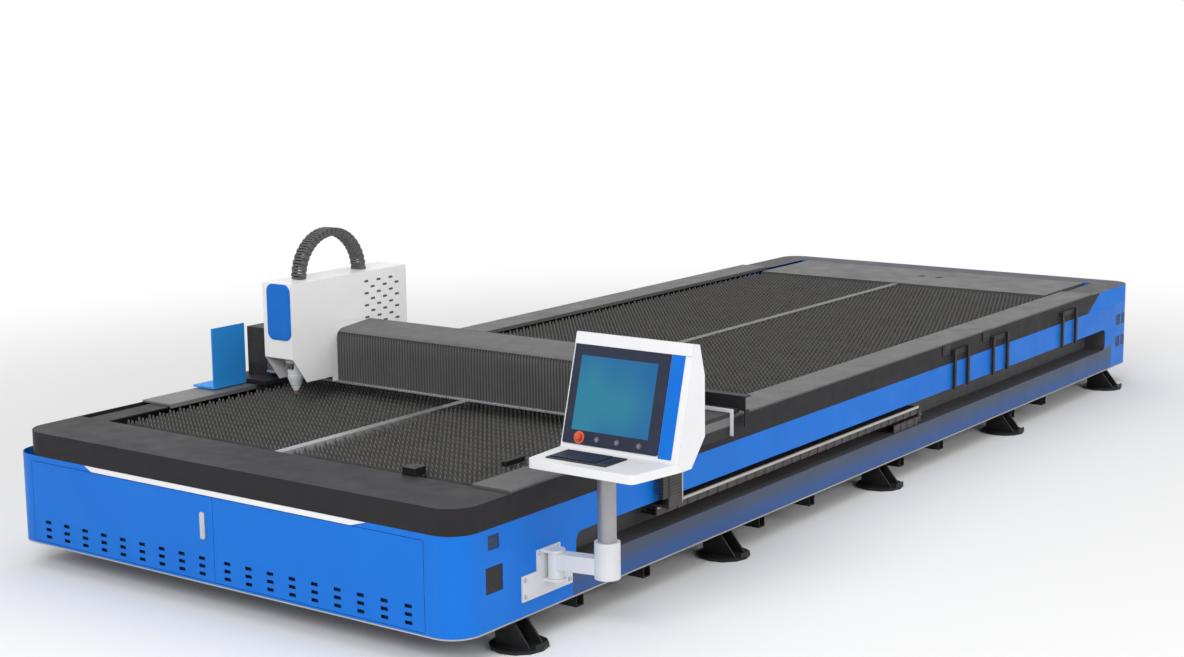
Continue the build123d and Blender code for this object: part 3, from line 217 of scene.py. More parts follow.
# Finishes, a row each: tones of the two mottled colours and of worn edges, scale of the
# mottling, low and high roughness, scale of the grain and its depth in millimetres,
# width of the worn edges, how worn they are. Tones are as they look on screen, 0 to 255
finishColumns = ("colour", "second", "wear", "mottle", "rough", "grain", "edge", "wearShare")
finishes = {
    "bluePaint": (
        (20, 116, 214), (16, 108, 206), (70, 150, 232), 1.3, (0.34, 0.46), (900, 0.03), 0.0035, 0.4,
        {"specular": 0.16}),
    # A lighter copy of the blue paint for the left end cover, which lies in shade: painted light
    "bluePaintPaintedLight": (
        (56, 164, 250), (50, 156, 243), (80, 160, 236), 1.3, (0.34, 0.46), (900, 0.03), 0.0035, 0.4,
        {"specular": 0.16}),
    # Blue paint for the right side panel with painted shade: greyer and darker towards its bottom
    "bluePaintPaintedShade": (
        (20, 116, 214), (16, 108, 206), (84, 150, 226), 1.3, (0.38, 0.5), (900, 0.03), 0.0035, 0.4,
        {"specular": 0.16, "tints": [((0, 0, 1), 0.345, 0.3, (76, 86, 104), False),
         ((0, 0, 1), 0.27, 0.19, (58, 90, 146), False)]}),
    # Both rim paints carry painted shade on their upright faces through the rim tints
    "rimPaint": (
        (60, 59, 61), (53, 52, 55), (96, 96, 100), 2.2, (0.5, 0.62), (700, 0.06), 0.004, 0.4,
        {"specular": 0.16, "tints": rimShadeAndBlueTints}),
    "rearRimPaint": (
        (92, 91, 92), (84, 84, 86), (96, 130, 190), 2.2, (0.5, 0.62), (700, 0.06), 0.004, 0.6,
        {"specular": 0.16, "tints": rimShadeAndBlueTints + [((1, 0, 0), 4.076, 4.078, (20, 116, 214), False)]}),
    # The rail covers turn lighter towards the front left: painted highlight
    "coverGrey": (
        (98, 97, 98), (89, 89, 91), (168, 168, 168), 1.6, (0.4, 0.52), (600, 0.04), 0.003, 0.5,
        {"specular": 0.22, "tints": [((-1, 1, 0), 3.5, 4.3, (126, 125, 125), False)]}),
    "whitePaint": (
        (234, 234, 235), (229, 229, 231), (222, 222, 226), 3.0, (0.3, 0.42), (900, 0.03), 0.003, 0.4,
        {"coat": 0.1}),
    "housingWhite": (
        (246, 246, 246), (240, 240, 242), (226, 226, 229), 3.0, (0.3, 0.42), (900, 0.03), 0.003, 0.4,
        {"coat": 0.1}),
    "poleGrey": (
        (214, 216, 219), (204, 206, 210), (186, 188, 192), 4.0, (0.32, 0.45), (800, 0.03), 0.003, 0.4,
        {"coat": 0.1}),
    "blackPaint": (
        (34, 34, 34), (26, 26, 27), (74, 72, 70), 5.0, (0.42, 0.6), (260, 0.18), 0.003, 0.6,
        {"specular": 0.3}),
    # The blades turn lighter towards their tips: painted highlight
    "slatSteel": (
        (92, 91, 90), (74, 73, 72), (190, 188, 184), 9.0, (0.45, 0.68), (220, 0.25), 0.0012, 0.8,
        {"metal": 0.1, "specular": 0.4, "tints": [((0, 0, 1), 0.736, 0.756, (122, 121, 119), False)]}),
    # The comb is bright at the front and fades to the slats' grey towards the back: painted highlight
    "combSteel": (
        (186, 186, 188), (170, 170, 172), (190, 190, 188), 6.0, (0.35, 0.5), (300, 0.12), 0.002, 0.6,
        {"metal": 0.3, "tints": [((1, 0, 0), -3.3, -2.3, (92, 91, 90), False),
         ((0, 0, 1), 0.757, 0.7574, (20, 20, 21), False)]}),
    "railSteel": (
        (176, 177, 180), (156, 157, 161), (214, 214, 216), 3.0, (0.2, 0.34), (420, 0.03), 0.0015, 0.5,
        {"metal": 1.0, "stretch": (0.05, 1, 1)}),
    # Upright faces darken from the front pleats' ridges into their valleys and stay dark behind: painted
    # shade in the folds
    "bellowsCloth": (
        (116, 116, 117), (107, 107, 108), (150, 150, 151), 7.0, (0.62, 0.78), (1500, 0.12), 0.0018, 0.8,
        {"specular": 0.2, "tints": [((1, 0, 0), -2.513, -2.501, (58, 58, 59), True)]}),
    "chainPlastic": (
        (66, 62, 60), (56, 53, 51), (98, 98, 99), 12.0, (0.46, 0.6), (900, 0.06), 0.0015, 0.5),
    "archPlastic": (
        (92, 91, 91), (80, 79, 80), (130, 130, 130), 12.0, (0.48, 0.62), (900, 0.06), 0.0015, 0.5),
    # Steel for the console pole, darker than the arm: the metal is real, the darker tone is painted
    # shade under the console shelf
    "poleSteelShaded": (
        (164, 164, 166), (150, 150, 153), (196, 196, 198), 5.0, (0.3, 0.42), (800, 0.03), 0.002, 0.4,
        {"metal": 0.5}),
    "bezelPlastic": (
        (42, 48, 68), (36, 41, 60), (92, 96, 108), 8.0, (0.4, 0.5), (1800, 0.04), 0.0015, 0.4,
        {"specular": 0.25}),
    "keyPlastic": (
        (48, 46, 48), (40, 39, 41), (78, 76, 78), 20.0, (0.5, 0.62), (2200, 0.05), 0.0008, 0.5),
    "stopRed": (
        (222, 74, 34), (208, 62, 28), (240, 120, 84), 30.0, (0.22, 0.32), (1500, 0.03), 0.0012, 0.4,
        {"coat": 0.4}),
    "stopOrange": (
        (224, 104, 66), (210, 90, 56), (238, 150, 120), 30.0, (0.3, 0.42), (1500, 0.03), 0.001, 0.4),
    "collarGrey": (
        (120, 122, 128), (104, 106, 112), (170, 172, 176), 22.0, (0.3, 0.4), (1500, 0.03), 0.001, 0.5,
        {"metal": 0.8}),
    "buttonMetal": (
        (126, 134, 158), (108, 116, 140), (190, 194, 206), 25.0, (0.26, 0.38), (1600, 0.03), 0.0008, 0.5,
        {"metal": 0.7}),
    "driveBlack": (
        (40, 40, 43), (33, 33, 36), (80, 80, 84), 8.0, (0.4, 0.52), (700, 0.06), 0.002, 0.5),
    "headMetal": (
        (240, 241, 242), (226, 227, 229), (246, 246, 247), 14.0, (0.26, 0.4), (600, 0.04), 0.0015, 0.5,
        {"metal": 0.12, "stretch": (1, 1, 0.15)}),
    "nozzleCopper": (
        (214, 186, 164), (196, 160, 134), (232, 186, 150), 60.0, (0.24, 0.4), (1200, 0.03), 0.0006, 0.5,
        {"metal": 1.0}),
    "handleSteel": (
        (208, 210, 213), (188, 190, 194), (232, 233, 235), 20.0, (0.22, 0.34), (900, 0.03), 0.001, 0.4,
        {"metal": 0.7, "stretch": (1, 1, 0.1)}),
    "grilleBlue": (
        (38, 62, 98), (30, 50, 84), (70, 104, 150), 15.0, (0.45, 0.58), (700, 0.05), 0.001, 0.5),
    "grilleBlack": (
        (38, 40, 44), (28, 30, 34), (66, 68, 72), 15.0, (0.5, 0.64), (700, 0.05), 0.001, 0.5),
    "slotShade": (
        (96, 96, 99), (82, 82, 86), (120, 120, 124), 40.0, (0.7, 0.85), (900, 0.05), 0.0006, 0.3),
    # The right end cover: dark at the top as painted shadow under the hoop, a grey band below it, dark
    # again lower down
    "coverDark": (
        (50, 49, 51), (43, 42, 45), (96, 96, 98), 1.6, (0.45, 0.56), (600, 0.04), 0.003, 0.4,
        {"specular": 0.2, "tints": [((0, 0, 1), 0.79, 0.785, (112, 110, 111), False),
         ((0, 0, 1), 0.742, 0.736, (44, 42, 44), False)]}),
    "troughGrey": (
        (86, 86, 88), (76, 76, 78), (160, 158, 156), 2.0, (0.5, 0.64), (600, 0.05), 0.003, 0.4,
        {"specular": 0.3}),
    "lipGrey": (
        (190, 186, 180), (172, 168, 162), (206, 204, 200), 3.0, (0.3, 0.44), (800, 0.04), 0.001, 0.4,
        {"metal": 0.3}),
}


def makeFinish(name, row):
    look = {**plainFinish, **dict(zip(finishColumns, row))}
    look.update(*row[len(finishColumns):])
    mat = bpy.data.materials.new(name)
    graph = Graph(mat)
    place = graph.add("TexCoord").outputs["Object"]
    spread = graph.add("Mapping", {"Vector": place, "Scale": look["stretch"]}).outputs[0]

    def cloud(scale, detail):
        return graph.add("TexNoise", {"Vector": spread, "Scale": scale,
                                      "Detail": detail}).outputs[0]

    def mapped(value, low, high, fromLow=0.3, fromHigh=0.7):
        return graph.add("MapRange", {"Value": value, "From Min": fromLow, "From Max": fromHigh,
                                      "To Min": low, "To Max": high}).outputs["Result"]

    def mixed(share, first, second):
        # sockets 6 and 7 take the two colours, output 2 gives the mixed one
        return graph.add("Mix", {0: share, 6: first, 7: second}, data_type="RGBA").outputs[2]

    # edge wear: where a rounded normal leaves the flat one, broken up by a fine cloud
    rounded = graph.add("Bevel", {"Radius": look["edge"]}, samples=4).outputs[0]
    flat = graph.add("NewGeometry").outputs["Normal"]
    turned = graph.reckon("SUBTRACT", 1.0, graph.vectors("DOT_PRODUCT", rounded, flat))
    worn = graph.reckon("MULTIPLY", mapped(turned, 0, look["wearShare"], *look["turned"]),
                        mapped(cloud(look["wearCloud"], 4), 0.3, 1.0))

    colour = mixed(mapped(cloud(look["mottle"], 6), 0, 1), tone(*look["colour"]),
                   tone(*look["second"]))
    for direction, start, full, tint, sidesOnly in look["tints"]:
        share = mapped(graph.vectors("DOT_PRODUCT", place, direction), 0, 1, start, full)
        if sidesOnly:
            level = graph.reckon("ABSOLUTE", graph.add("SeparateXYZ", {0: flat}).outputs["Z"])
            share = graph.reckon("MULTIPLY", share, graph.reckon("LESS_THAN", level, 0.5))
        colour = mixed(share, colour, tone(*tint))
    grainScale, grainDepth = look["grain"]
    bump = graph.add("Bump", {"Strength": 1.0, "Distance": grainDepth / 1000,
                              "Height": cloud(grainScale, 3), "Normal": rounded})
    shader = graph.add("BsdfPrincipled", {
        "Base Color": mixed(worn, colour, tone(*look["wear"])),
        "Roughness": mapped(cloud(look["mottle"] * 4, 5), *look["rough"]),
        "Normal": bump.outputs[0],
        "Metallic": look["metal"],
        "Specular IOR Level": look["specular"],
        "Coat Weight": look["coat"],
        "Coat Roughness": look["coatRough"]})
    graph.add("OutputMaterial", {"Surface": shader.outputs[0]})
    return mat


# The lit display: two teals in soft clouds over dark glass
screen = {
    "glass": tone(16, 34, 48),
    "low": (0.35, tone(24, 100, 158)),  # where on the cloud, and its tone
    "high": (0.65, tone(40, 128, 156)),
    "cloud": 2.4,
    "glow": 0.9,
}


def makeScreen(look):
    mat = bpy.data.materials.new("screenGlow")
    graph = Graph(mat)
    place = graph.add("TexCoord").outputs["Object"]
    cloud = graph.add("TexNoise", {"Vector": place, "Scale": look["cloud"], "Detail": 1})
    ramp = graph.add("ValToRGB", {0: cloud.outputs[0]})
    for element, stop in zip(ramp.color_ramp.elements, (look["low"], look["high"])):
        element.position, element.color = stop
    shader = graph.add("BsdfPrincipled", {
        "Base Color": look["glass"], "Roughness": 0.35, "Specular IOR Level": 0.2,
        "Emission Color": ramp.outputs[0], "Emission Strength": look["glow"]})
    graph.add("OutputMaterial", {"Surface": shader.outputs[0]})
    return mat


paints = {name: makeFinish(name, row) for name, row in finishes.items()}
paints["screenGlow"] = makeScreen(screen)
print("finishes ready:", len(paints))

# Finish and part list of the solids that stay as modelled
dressing = {
    "bluePaint": "front_shell left_side_panel rear_shell door_left door_right",
    "bluePaintPaintedLight": "end_cover_left",
    "bluePaintPaintedShade": "right_side_panel",
    "rimPaint": "front_deck rail_boxes saddles",
    "rearRimPaint": "rear_rim",
    "troughGrey": "chain_trough",
    "coverDark": "end_cover_right",
    "coverGrey": "rail_covers rear_deck",
    "whitePaint": "front_trim console_shell",
    "housingWhite": "head_housing",
    "poleGrey": "console_arm console_bracket",
    "poleSteelShaded": "console_pole",
    "blackPaint": "bed_beams lower_frames cross_members foot_stands side_posts "
                  "levelling_screws slag_pans gantry_beam",
    "combSteel": "slat_combs",
    "railSteel": "rails_and_racks beam_rails door_pins x_pinion_right x_pinion_left y_pinion z_screw",
    "driveBlack": "x_drives carriage_drives",
    "chainPlastic": "chain_arm",
    "headMetal": "carriage_plate z_slide",
    "bezelPlastic": "console_bezel",
    "screenGlow": "console_display",
    "buttonMetal": "button_left button_middle button_right",
    "handleSteel": "door_handle",
}
for finish, names in dressing.items():
    for nodeName in names.split():
        data = cadNodes[nodeName].data
        data.materials.clear()
        data.materials.append(paints[finish])
print("solids dressed")


class Shape:
    # Points and faces of one piece, in metres
    def __init__(self):
        self.points = []
        self.faces = []

    def add(self, points, faces):
        start = len(self.points)
        self.points += [tuple(point) for point in points]
        self.faces += [tuple(start + number for number in face) for face in faces]

    def stamp(self, other, matrix):
        self.add([matrix @ Vector(point) for point in other.points], other.faces)

    def box(self, low, high, chamfer=0.0):
        corners = list(product((0, 1), repeat=3))
        ends = (low, high)
        if not chamfer:
            points = [[ends[c[k]][k] for k in range(3)] for c in corners]
            self.add(points, [(0, 1, 3, 2), (4, 6, 7, 5), (0, 4, 5, 1), (2, 3, 7, 6),
                              (0, 2, 6, 4), (1, 5, 7, 3)])
            return
        points = [[ends[c[k]][k] + (0 if k == axis else chamfer * (1 - 2 * c[k]))
                   for k in range(3)] for c in corners for axis in range(3)]
        faces = []
        for axis in range(3):
            weights = [4 >> (axis + k) % 3 for k in range(3)]

            def at(face, *sides):
                return sum(w * side for w, side in zip(weights, sides)) * 3 + face

            second, third = (axis + 1) % 3, (axis + 2) % 3
            for side in (0, 1):
                faces.append([at(axis, side, a, b) for a, b in ((0, 0), (1, 0), (1, 1), (0, 1))])
            for a, b in product((0, 1), repeat=2):
                faces.append([at(face, end, a, b) for end, face in
                              ((0, second), (1, second), (1, third), (0, third))])
        faces += [[3 * number + axis for axis in range(3)] for number in range(8)]
        self.add(points, faces)

    def sweep(self, rings, closed=False):
        # A skin over rings of equally many points, with end faces or joined end to end
        size, count = len(rings[0]), len(rings)
        faces = []
        for number in range(count if closed else count - 1):
            following = (number + 1) % count
            for k in range(size):
                after = (k + 1) % size
                faces.append((number * size + k, number * size + after,
                              following * size + after, following * size + k))
        if not closed:
            faces += [range(size), range((count - 1) * size, count * size)]
        self.add([point for ring in rings for point in ring], faces)

    def prism(self, outline, axis, start, end):
        # outline is (y, z), (x, z) or (x, y) for axis x, y or z
        self.sweep([[{"x": (level, a, b), "y": (a, level, b), "z": (a, b, level)}[axis]
                     for a, b in outline] for level in (start, end)])

    def lathe(self, profile, centre, direction=(0, 0, 1), steps=40):
        # profile is (radius, height) from one end to the other
        turn = Vector((0, 0, 1)).rotation_difference(Vector(direction)).to_matrix()
        angles = [2 * pi * k / steps for k in range(steps)]
        self.sweep([[Vector(centre) + turn @ Vector((radius * cos(angle),
                                                     radius * sin(angle), height))
                     for angle in angles] for radius, height in profile])


def makePiece(name, shape, finish, body, replaces=(), bevel=0.0, smooth=0.0,
              matrix=Matrix()):
    data = bpy.data.meshes.new(name)
    data.from_pydata([matrix @ Vector(point) for point in shape.points], [], shape.faces)
    bm = bmesh.new()
    bm.from_mesh(data)
    bmesh.ops.recalc_face_normals(bm, faces=bm.faces)
    bm.to_mesh(data)
    bm.free()
    data.materials.append(paints[finish])
    piece = bpy.data.objects.new(name, data)
    bpy.context.collection.objects.link(piece)
    if smooth:
        data.shade_smooth()
        data.set_sharp_from_angle(angle=radians(smooth))
    if bevel:
        cut = piece.modifiers.new("edges", "BEVEL")
        cut.width = bevel
        cut.segments = 2
        cut.limit_method = "ANGLE"
        cut.angle_limit = radians(35)
    if body:
        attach(piece, body)
    if replaces:
        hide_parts(*replaces)
    return piece


clearance = 0.0003  # between a plate and the face it lies on


def roundedOutline(width, height, radius, steps=6, middle=(0, 0)):
    points = []
    for turn, (sx, sy) in enumerate(((1, 1), (-1, 1), (-1, -1), (1, -1))):
        for k in range(steps + 1):
            angle = pi / 2 * (turn + k / steps)
            points.append((middle[0] + sx * (width / 2 - radius) + radius * cos(angle),
                           middle[1] + sy * (height / 2 - radius) + radius * sin(angle)))
    return points


# Toothed blades of the cutting table, two to a row either side of the middle comb
blades = {
    "pitch": 0.075,  # between rows
    "teeth": 40,  # to a blade
    "thickness": 0.003,
    "valley": 0.03,  # depth of a tooth
    "flat": 0.005,  # width of its tip
    "gap": 0.028,  # from the table's middle to a blade's end
}


def makeBlades(look):
    low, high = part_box("table_slats")
    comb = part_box("slat_combs")
    middle = (comb[0].y + comb[1].y) / 2
    gap = look["gap"]
    shape = Shape()
    rows = int((high.x - low.x - look["thickness"]) / look["pitch"]) + 1
    for start, end in ((low.y, middle - gap), (middle + gap, high.y)):
        step = (end - start) / look["teeth"]
        outline = [(start, low.z), (start, high.z - look["valley"])]
        for number in range(look["teeth"]):
            tip = start + (number + 0.5) * step
            outline += [(tip - look["flat"] / 2, high.z), (tip + look["flat"] / 2, high.z)]
            outline.append((start + (number + 1) * step, high.z - look["valley"]))
        outline.append((end, low.z))
        for row in range(rows):
            x = low.x + row * look["pitch"]
            shape.prism(outline, "x", x, x + look["thickness"])
    makePiece("tableBlades", shape, "slatSteel", "bed", ["table_slats"])


makeBlades(blades)
print("table blades made")

# Bellows: a pleated skin round the beam, and its light guide strip along the front
bellows = {
    "pitch": 0.02,
    "depth": 0.016,
    "topShare": 0.15,  # how much of a pleat's depth is left on the top
    "skin": 0.003,
    "shoulder": 0.055,  # rounding of the front top edge
    "turn": 84,  # degrees that the rounding turns, the top slopes on from there
    "steps": 6,
    "rise": 0.022,  # of the sloping top
    "waist": 0.6,  # where the front is divided, as a share of its height
    "backRound": 0.02,
    "backBottom": 1.06,  # height at which the skin ends behind the beam
    "travel": 1.88,  # the carriage's stroke
    "guide": (0.012, 0.013),
    "guideProud": 0.009,
    "guideGap": 0.0005,
    "guideEdge": 0.001,
}


def bellowsRing(box, fold, look, inner=False):
    # front bottom up over the rounded shoulder and the sloping top to the back,
    # fold is 1 in the bottom of a pleat and 0 on its ridge
    low, high = box
    skin = look["skin"] if inner else 0.0
    deep = look["depth"] * fold
    shallow = deep * look["topShare"]
    radius = look["shoulder"]
    top = high.z - shallow - skin
    bend = top - look["rise"] - radius
    steps = look["steps"]
    points = [(low.x + deep + skin, low.z),
              (low.x + deep + skin, low.z + look["waist"] * (bend - low.z))]
    for k in range(steps + 1):
        inset = deep + (shallow - deep) * (k + 1) / (steps + 1) + skin
        angle = pi - radians(look["turn"]) * k / steps
        points.append((low.x + inset + radius + radius * cos(angle),
                       bend + radius * sin(angle)))
    back = high.x - deep - skin
    corner = look["backRound"]
    points += [(back - corner, top), (back, top - corner), (back, look["backBottom"])]
    return points


def makeBellows(name, node, look, body=None):
    low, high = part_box(node)
    count = max(2, round((high.y - low.y) / look["pitch"]))
    rings = []
    for number in range(2 * count + 1):
        y = low.y + (high.y - low.y) * number / (2 * count)
        outer = bellowsRing((low, high), number % 2, look)
        inner = bellowsRing((low, high), number % 2, look, inner=True)
        rings.append([(x, y, z) for x, z in outer + inner[::-1]])
    shape = Shape()
    shape.sweep(rings)
    return makePiece(name, shape, "bellowsCloth", body, [node])


def dressBellows(look):
    longBox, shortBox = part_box("bellows_long"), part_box("bellows_short")
    longSkin = makeBellows("bellowsLongSkin", "bellows_long", look, "gantry")
    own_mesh(longSkin)
    shortSkin = makeBellows("bellowsShortSkin", "bellows_short", look)
    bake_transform(shortSkin)
    guide = Shape()
    deep, tall = look["guide"]
    guide.box((longBox[0].x - look["guideProud"], longBox[0].y, longBox[0].z - tall),
              (longBox[0].x + deep, shortBox[1].y, longBox[0].z - look["guideGap"]),
              look["guideEdge"])
    makePiece("bellowsGuide", guide, "handleSteel", "gantry")


dressBellows(bellows)
print("bellows made")

# Cable chains: one link shape, laid straight, round the loop and over the arch
chains = {
    "travel": 5.5,  # the gantry's stroke
    "runPitch": 0.049,
    "runGap": 0.003,
    "wall": 0.01,
    "lap": 0.004,  # how far wide links reach over narrow ones, and stand out from them
    "edge": 0.002,
    "barHeight": 0.006,
    "barEdge": 0.0015,
    "runBar": 0.34,  # half of a bar's length, as a share of its link
    "arcBar": 0.47,
    "rim": ((0.002, -0.004, -0.012), (0, 0.008, 0.003)),  # light edge, from the run's corners
    "tail": 0.75,
    "tailInset": (0, 0.016, 0.009),
    "loopLinks": 5,
    "loopSpan": 66,  # degrees above and below level
    "loopInset": 0.001,
    "loopThinner": 0.006,
    "archLinks": 46,
    "archRadius": 0.247,
    "archThick": 0.047,
}


def chainLink(size, look, narrow, bar):
    # Local X along the chain, Y across, Z up, centred
    length, width, height = size
    link = Shape()
    half = width / 2 - (look["lap"] if narrow else 0.0)
    wall = look["wall"]
    reach = length / 2 + (0.0 if narrow else look["lap"])
    for side in (-1, 1):
        outer, inner = side * half, side * (half - wall)
        link.box((-reach, min(outer, inner), -height / 2), (reach, max(outer, inner), height / 2),
                 look["edge"])
        outer, inner = side * height / 2, side * (height / 2 - look["barHeight"])
        link.box((-length * bar, -half + wall, min(outer, inner)),
                 (length * bar, half - wall, max(outer, inner)), look["barEdge"])
    return link


def layRun(name, box, look, body=None, replaced=()):
    low, high = box
    count = max(2, round((high.x - low.x) / look["runPitch"]))
    pitch = (high.x - low.x) / count
    size = (pitch - look["runGap"], high.y - low.y, high.z - low.z)
    middle = (low + high) / 2
    shape = Shape()
    for number in range(count):
        link = chainLink(size, look, number % 2, look["runBar"])
        shape.stamp(link, Matrix.Translation((low.x + (number + 0.5) * pitch, middle.y, middle.z)))
    return makePiece(name, shape, "chainPlastic", body, replaced)


def layArc(name, node, arc, links, look, finish, body):
    middle, radius, width, height, start, end = arc
    shape = Shape()
    step = radians(end - start) / links
    length = 2 * radius * tan(step / 2)
    for number in range(links):
        angle = radians(start) + step * (number + 0.5)
        outward = Vector((cos(angle), 0, sin(angle)))
        along = Vector((-sin(angle), 0, cos(angle)))
        turn = Matrix((along, (0, 1, 0), outward)).transposed()
        link = chainLink((length - look["lap"], width, height), look, number % 2, look["arcBar"])
        shape.stamp(link, Matrix.Translation(Vector(middle) + radius * outward) @ turn.to_4x4())
    makePiece(name, shape, finish, body, [node])


def dressChains(look):
    upper, lower, loop = (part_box(n) for n in ("chain_upper_run", "chain_lower_run", "chain_loop"))
    run = layRun("chainUpperLinks", upper, look, "gantry", ["chain_upper_run"])
    edge = Shape()
    fromCorner, toCorner = (Vector(inset) for inset in look["rim"])
    edge.box(Vector((upper[0].x, upper[0].y, upper[1].z)) + fromCorner,
             Vector((upper[1].x, upper[0].y, upper[1].z)) + toCorner)
    edgePiece = makePiece("chainUpperEdge", edge, "lipGrey", "gantry")
    for piece in (run, edgePiece):
        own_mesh(piece)
    # the upper run's far end, drawn back inside it at rest, follows the loop
    inside = Vector(look["tailInset"])
    tailBox = (Vector((upper[1].x - look["tail"], upper[0].y, upper[0].z)) + inside,
               upper[1] - inside)
    tail = layRun("chainUpperTail", tailBox, look, "chain_turn")
    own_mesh(tail)
    run = layRun("chainLowerLinks", lower, look, replaced=["chain_lower_run"])
    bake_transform(run)
    thick = upper[1].z - upper[0].z
    loopRadius = (loop[1].z - loop[0].z) / 2 - thick / 2 - look["loopInset"]
    middle, span = (loop[0] + loop[1]) / 2, look["loopSpan"]
    layArc("chainLoopLinks", "chain_loop",
           ((loop[0].x, middle.y, middle.z), loopRadius, loop[1].y - loop[0].y,
            thick - look["loopThinner"], -span, span),
           look["loopLinks"], look, "chainPlastic", "chain_turn")
    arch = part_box("arch_chain")
    middle = (arch[0] + arch[1]) / 2
    layArc("archLinks", "arch_chain",
           ((middle.x, middle.y, arch[0].z), look["archRadius"], arch[1].y - arch[0].y,
            look["archThick"], 0, 180),
           look["archLinks"], look, "archPlastic", "carriage")


dressChains(chains)
print("cable chains made")

# Console: stripe, brow, rings and stop head on the leaning panel.
# Plates are across from and to, up from and to, thickness, corner, edge.
# Turned profiles are (radius, height over the panel)
console = {
    "foot": (-3.313, -1.575, 0.912),  # the panel's lower left corner
    "lean": 15.4,
    "stripe": (0.558, 0.632, 0.012, 0.548, 0.003, 0.004, 0.0008),
    "brow": (0.004, 0.668, 0.496, 0.553, 0.0085, 0.006, 0.002),
    "buttons": (0.21, 0.325, 0.451),
    "buttonUp": 0.054,
    "knob": 0.105,
    "ring": ((0.0108, 0.006), (0.0108, 0.0095), (0.0125, 0.0102), (0.0145, 0.009),
             (0.0148, 0.0063), (0.0108, 0.0063)),
    "collar": ((0.009, 0.0063), (0.009, 0.0074), (0.0285, 0.0074), (0.03, 0.007),
               (0.0302, 0.0063)),
    "stopHead": ((0.0078, 0.0052), (0.0078, 0.0118), (0.015, 0.0122), (0.0192, 0.0138),
                 (0.0198, 0.0165), (0.019, 0.02), (0.0172, 0.0235), (0.0135, 0.0262),
                 (0.0085, 0.0274), (0.003, 0.0277)),
}


def panelMatrix(look):
    lean = radians(look["lean"])
    across, up = (0, -1, 0), (sin(lean), 0, cos(lean))
    out = (-cos(lean), 0, sin(lean))
    return Matrix.Translation(look["foot"]) @ Matrix((across, up, out)).transposed().to_4x4()


def makeConsole(look):
    panel = panelMatrix(look)
    for name, field, finish, slot in (
            ("consoleStripe", "stripe", "bluePaint", "blue_paint"),
            ("consoleBrow", "brow", "whitePaint", "white_paint")):
        left, right, low, high, thick, corner, edge = look[field]
        plate = Shape()
        plate.prism(roundedOutline(right - left, high - low, corner,
                                   middle=((left + right) / 2, (low + high) / 2)),
                    "z", clearance, thick)
        makePiece(name, plate, finish, "console", matrix=panel, bevel=edge)
    knob = (look["knob"],)
    for name, field, places, steps, finish, body, slot, replaced, smooth in (
            ("buttonRings", "ring", look["buttons"], 40, "collarGrey", "console", "button_metal",
             (), 40),
            ("stopCollar", "collar", knob, 40, "stopOrange", "console", "button_metal", (), 40),
            ("stopHead", "stopHead", knob, 48, "stopRed", "stop_knob", "stop_red",
             ["estop_knob"], 50)):
        turned = Shape()
        for across in places:
            turned.lathe(look[field], (across, look["buttonUp"], 0), steps=steps)
        makePiece(name, turned, finish, body, replaced, smooth=smooth, matrix=panel)


# Keyboard: a tray with rows of keys and a touch pad. Tops and bottoms are measured
# down from the keyboard's top
keyboard = {
    "rows": 5,
    "columns": 14,
    "margin": 0.014,
    "padShare": 0.17,  # of the width, kept for the touch pad
    "padRows": 3.4,  # its depth, in rows of keys
    "padGap": 0.0228,
    "padCorner": 0.004,
    "padTop": 0.0035,
    "spaceBar": (0, 5, 4),  # row and column where it starts, width in keys
    "keyGap": 0.0012,
    "keyTop": 0.0005,
    "keyBottom": 0.0065,
    "keyEdge": 0.0016,
    "trayTop": 0.006,
    "trayEdge": 0.002,
}


def makeKeyboard(look):
    low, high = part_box("keyboard")
    base = Shape()
    base.box(low, (high.x, high.y, high.z - look["trayTop"]), look["trayEdge"])
    keys = Shape()
    margin, gap = look["margin"], look["keyGap"]
    bottom = high.z - look["keyBottom"]
    barRow, barColumn, barWide = look["spaceBar"]
    keysStart = low.y + margin + (high.y - low.y) * look["padShare"]
    stepX = (high.x - low.x - 2 * margin) / look["rows"]
    stepY = (high.y - margin - keysStart) / look["columns"]
    for row in range(look["rows"]):
        column = 0
        while column < look["columns"]:
            wide = barWide if (row, column) == (barRow, barColumn) else 1
            y = keysStart + column * stepY
            x = low.x + margin + row * stepX
            keys.box((x + gap, y + gap, bottom),
                     (x + stepX - gap, y + wide * stepY - gap, high.z - look["keyTop"]),
                     look["keyEdge"])
            column += wide
    pad = roundedOutline(stepX * look["padRows"], keysStart - low.y - look["padGap"],
                         look["padCorner"],
                         middle=((low.x + high.x) / 2, (low.y + keysStart) / 2))
    keys.prism(pad, "z", bottom, high.z - look["padTop"])
    makePiece("keyboardBase", base, "keyPlastic", "console", ["keyboard"])
    makePiece("keyboardKeys", keys, "bezelPlastic", "console")


makeConsole(console)
makeKeyboard(keyboard)
print("console made")

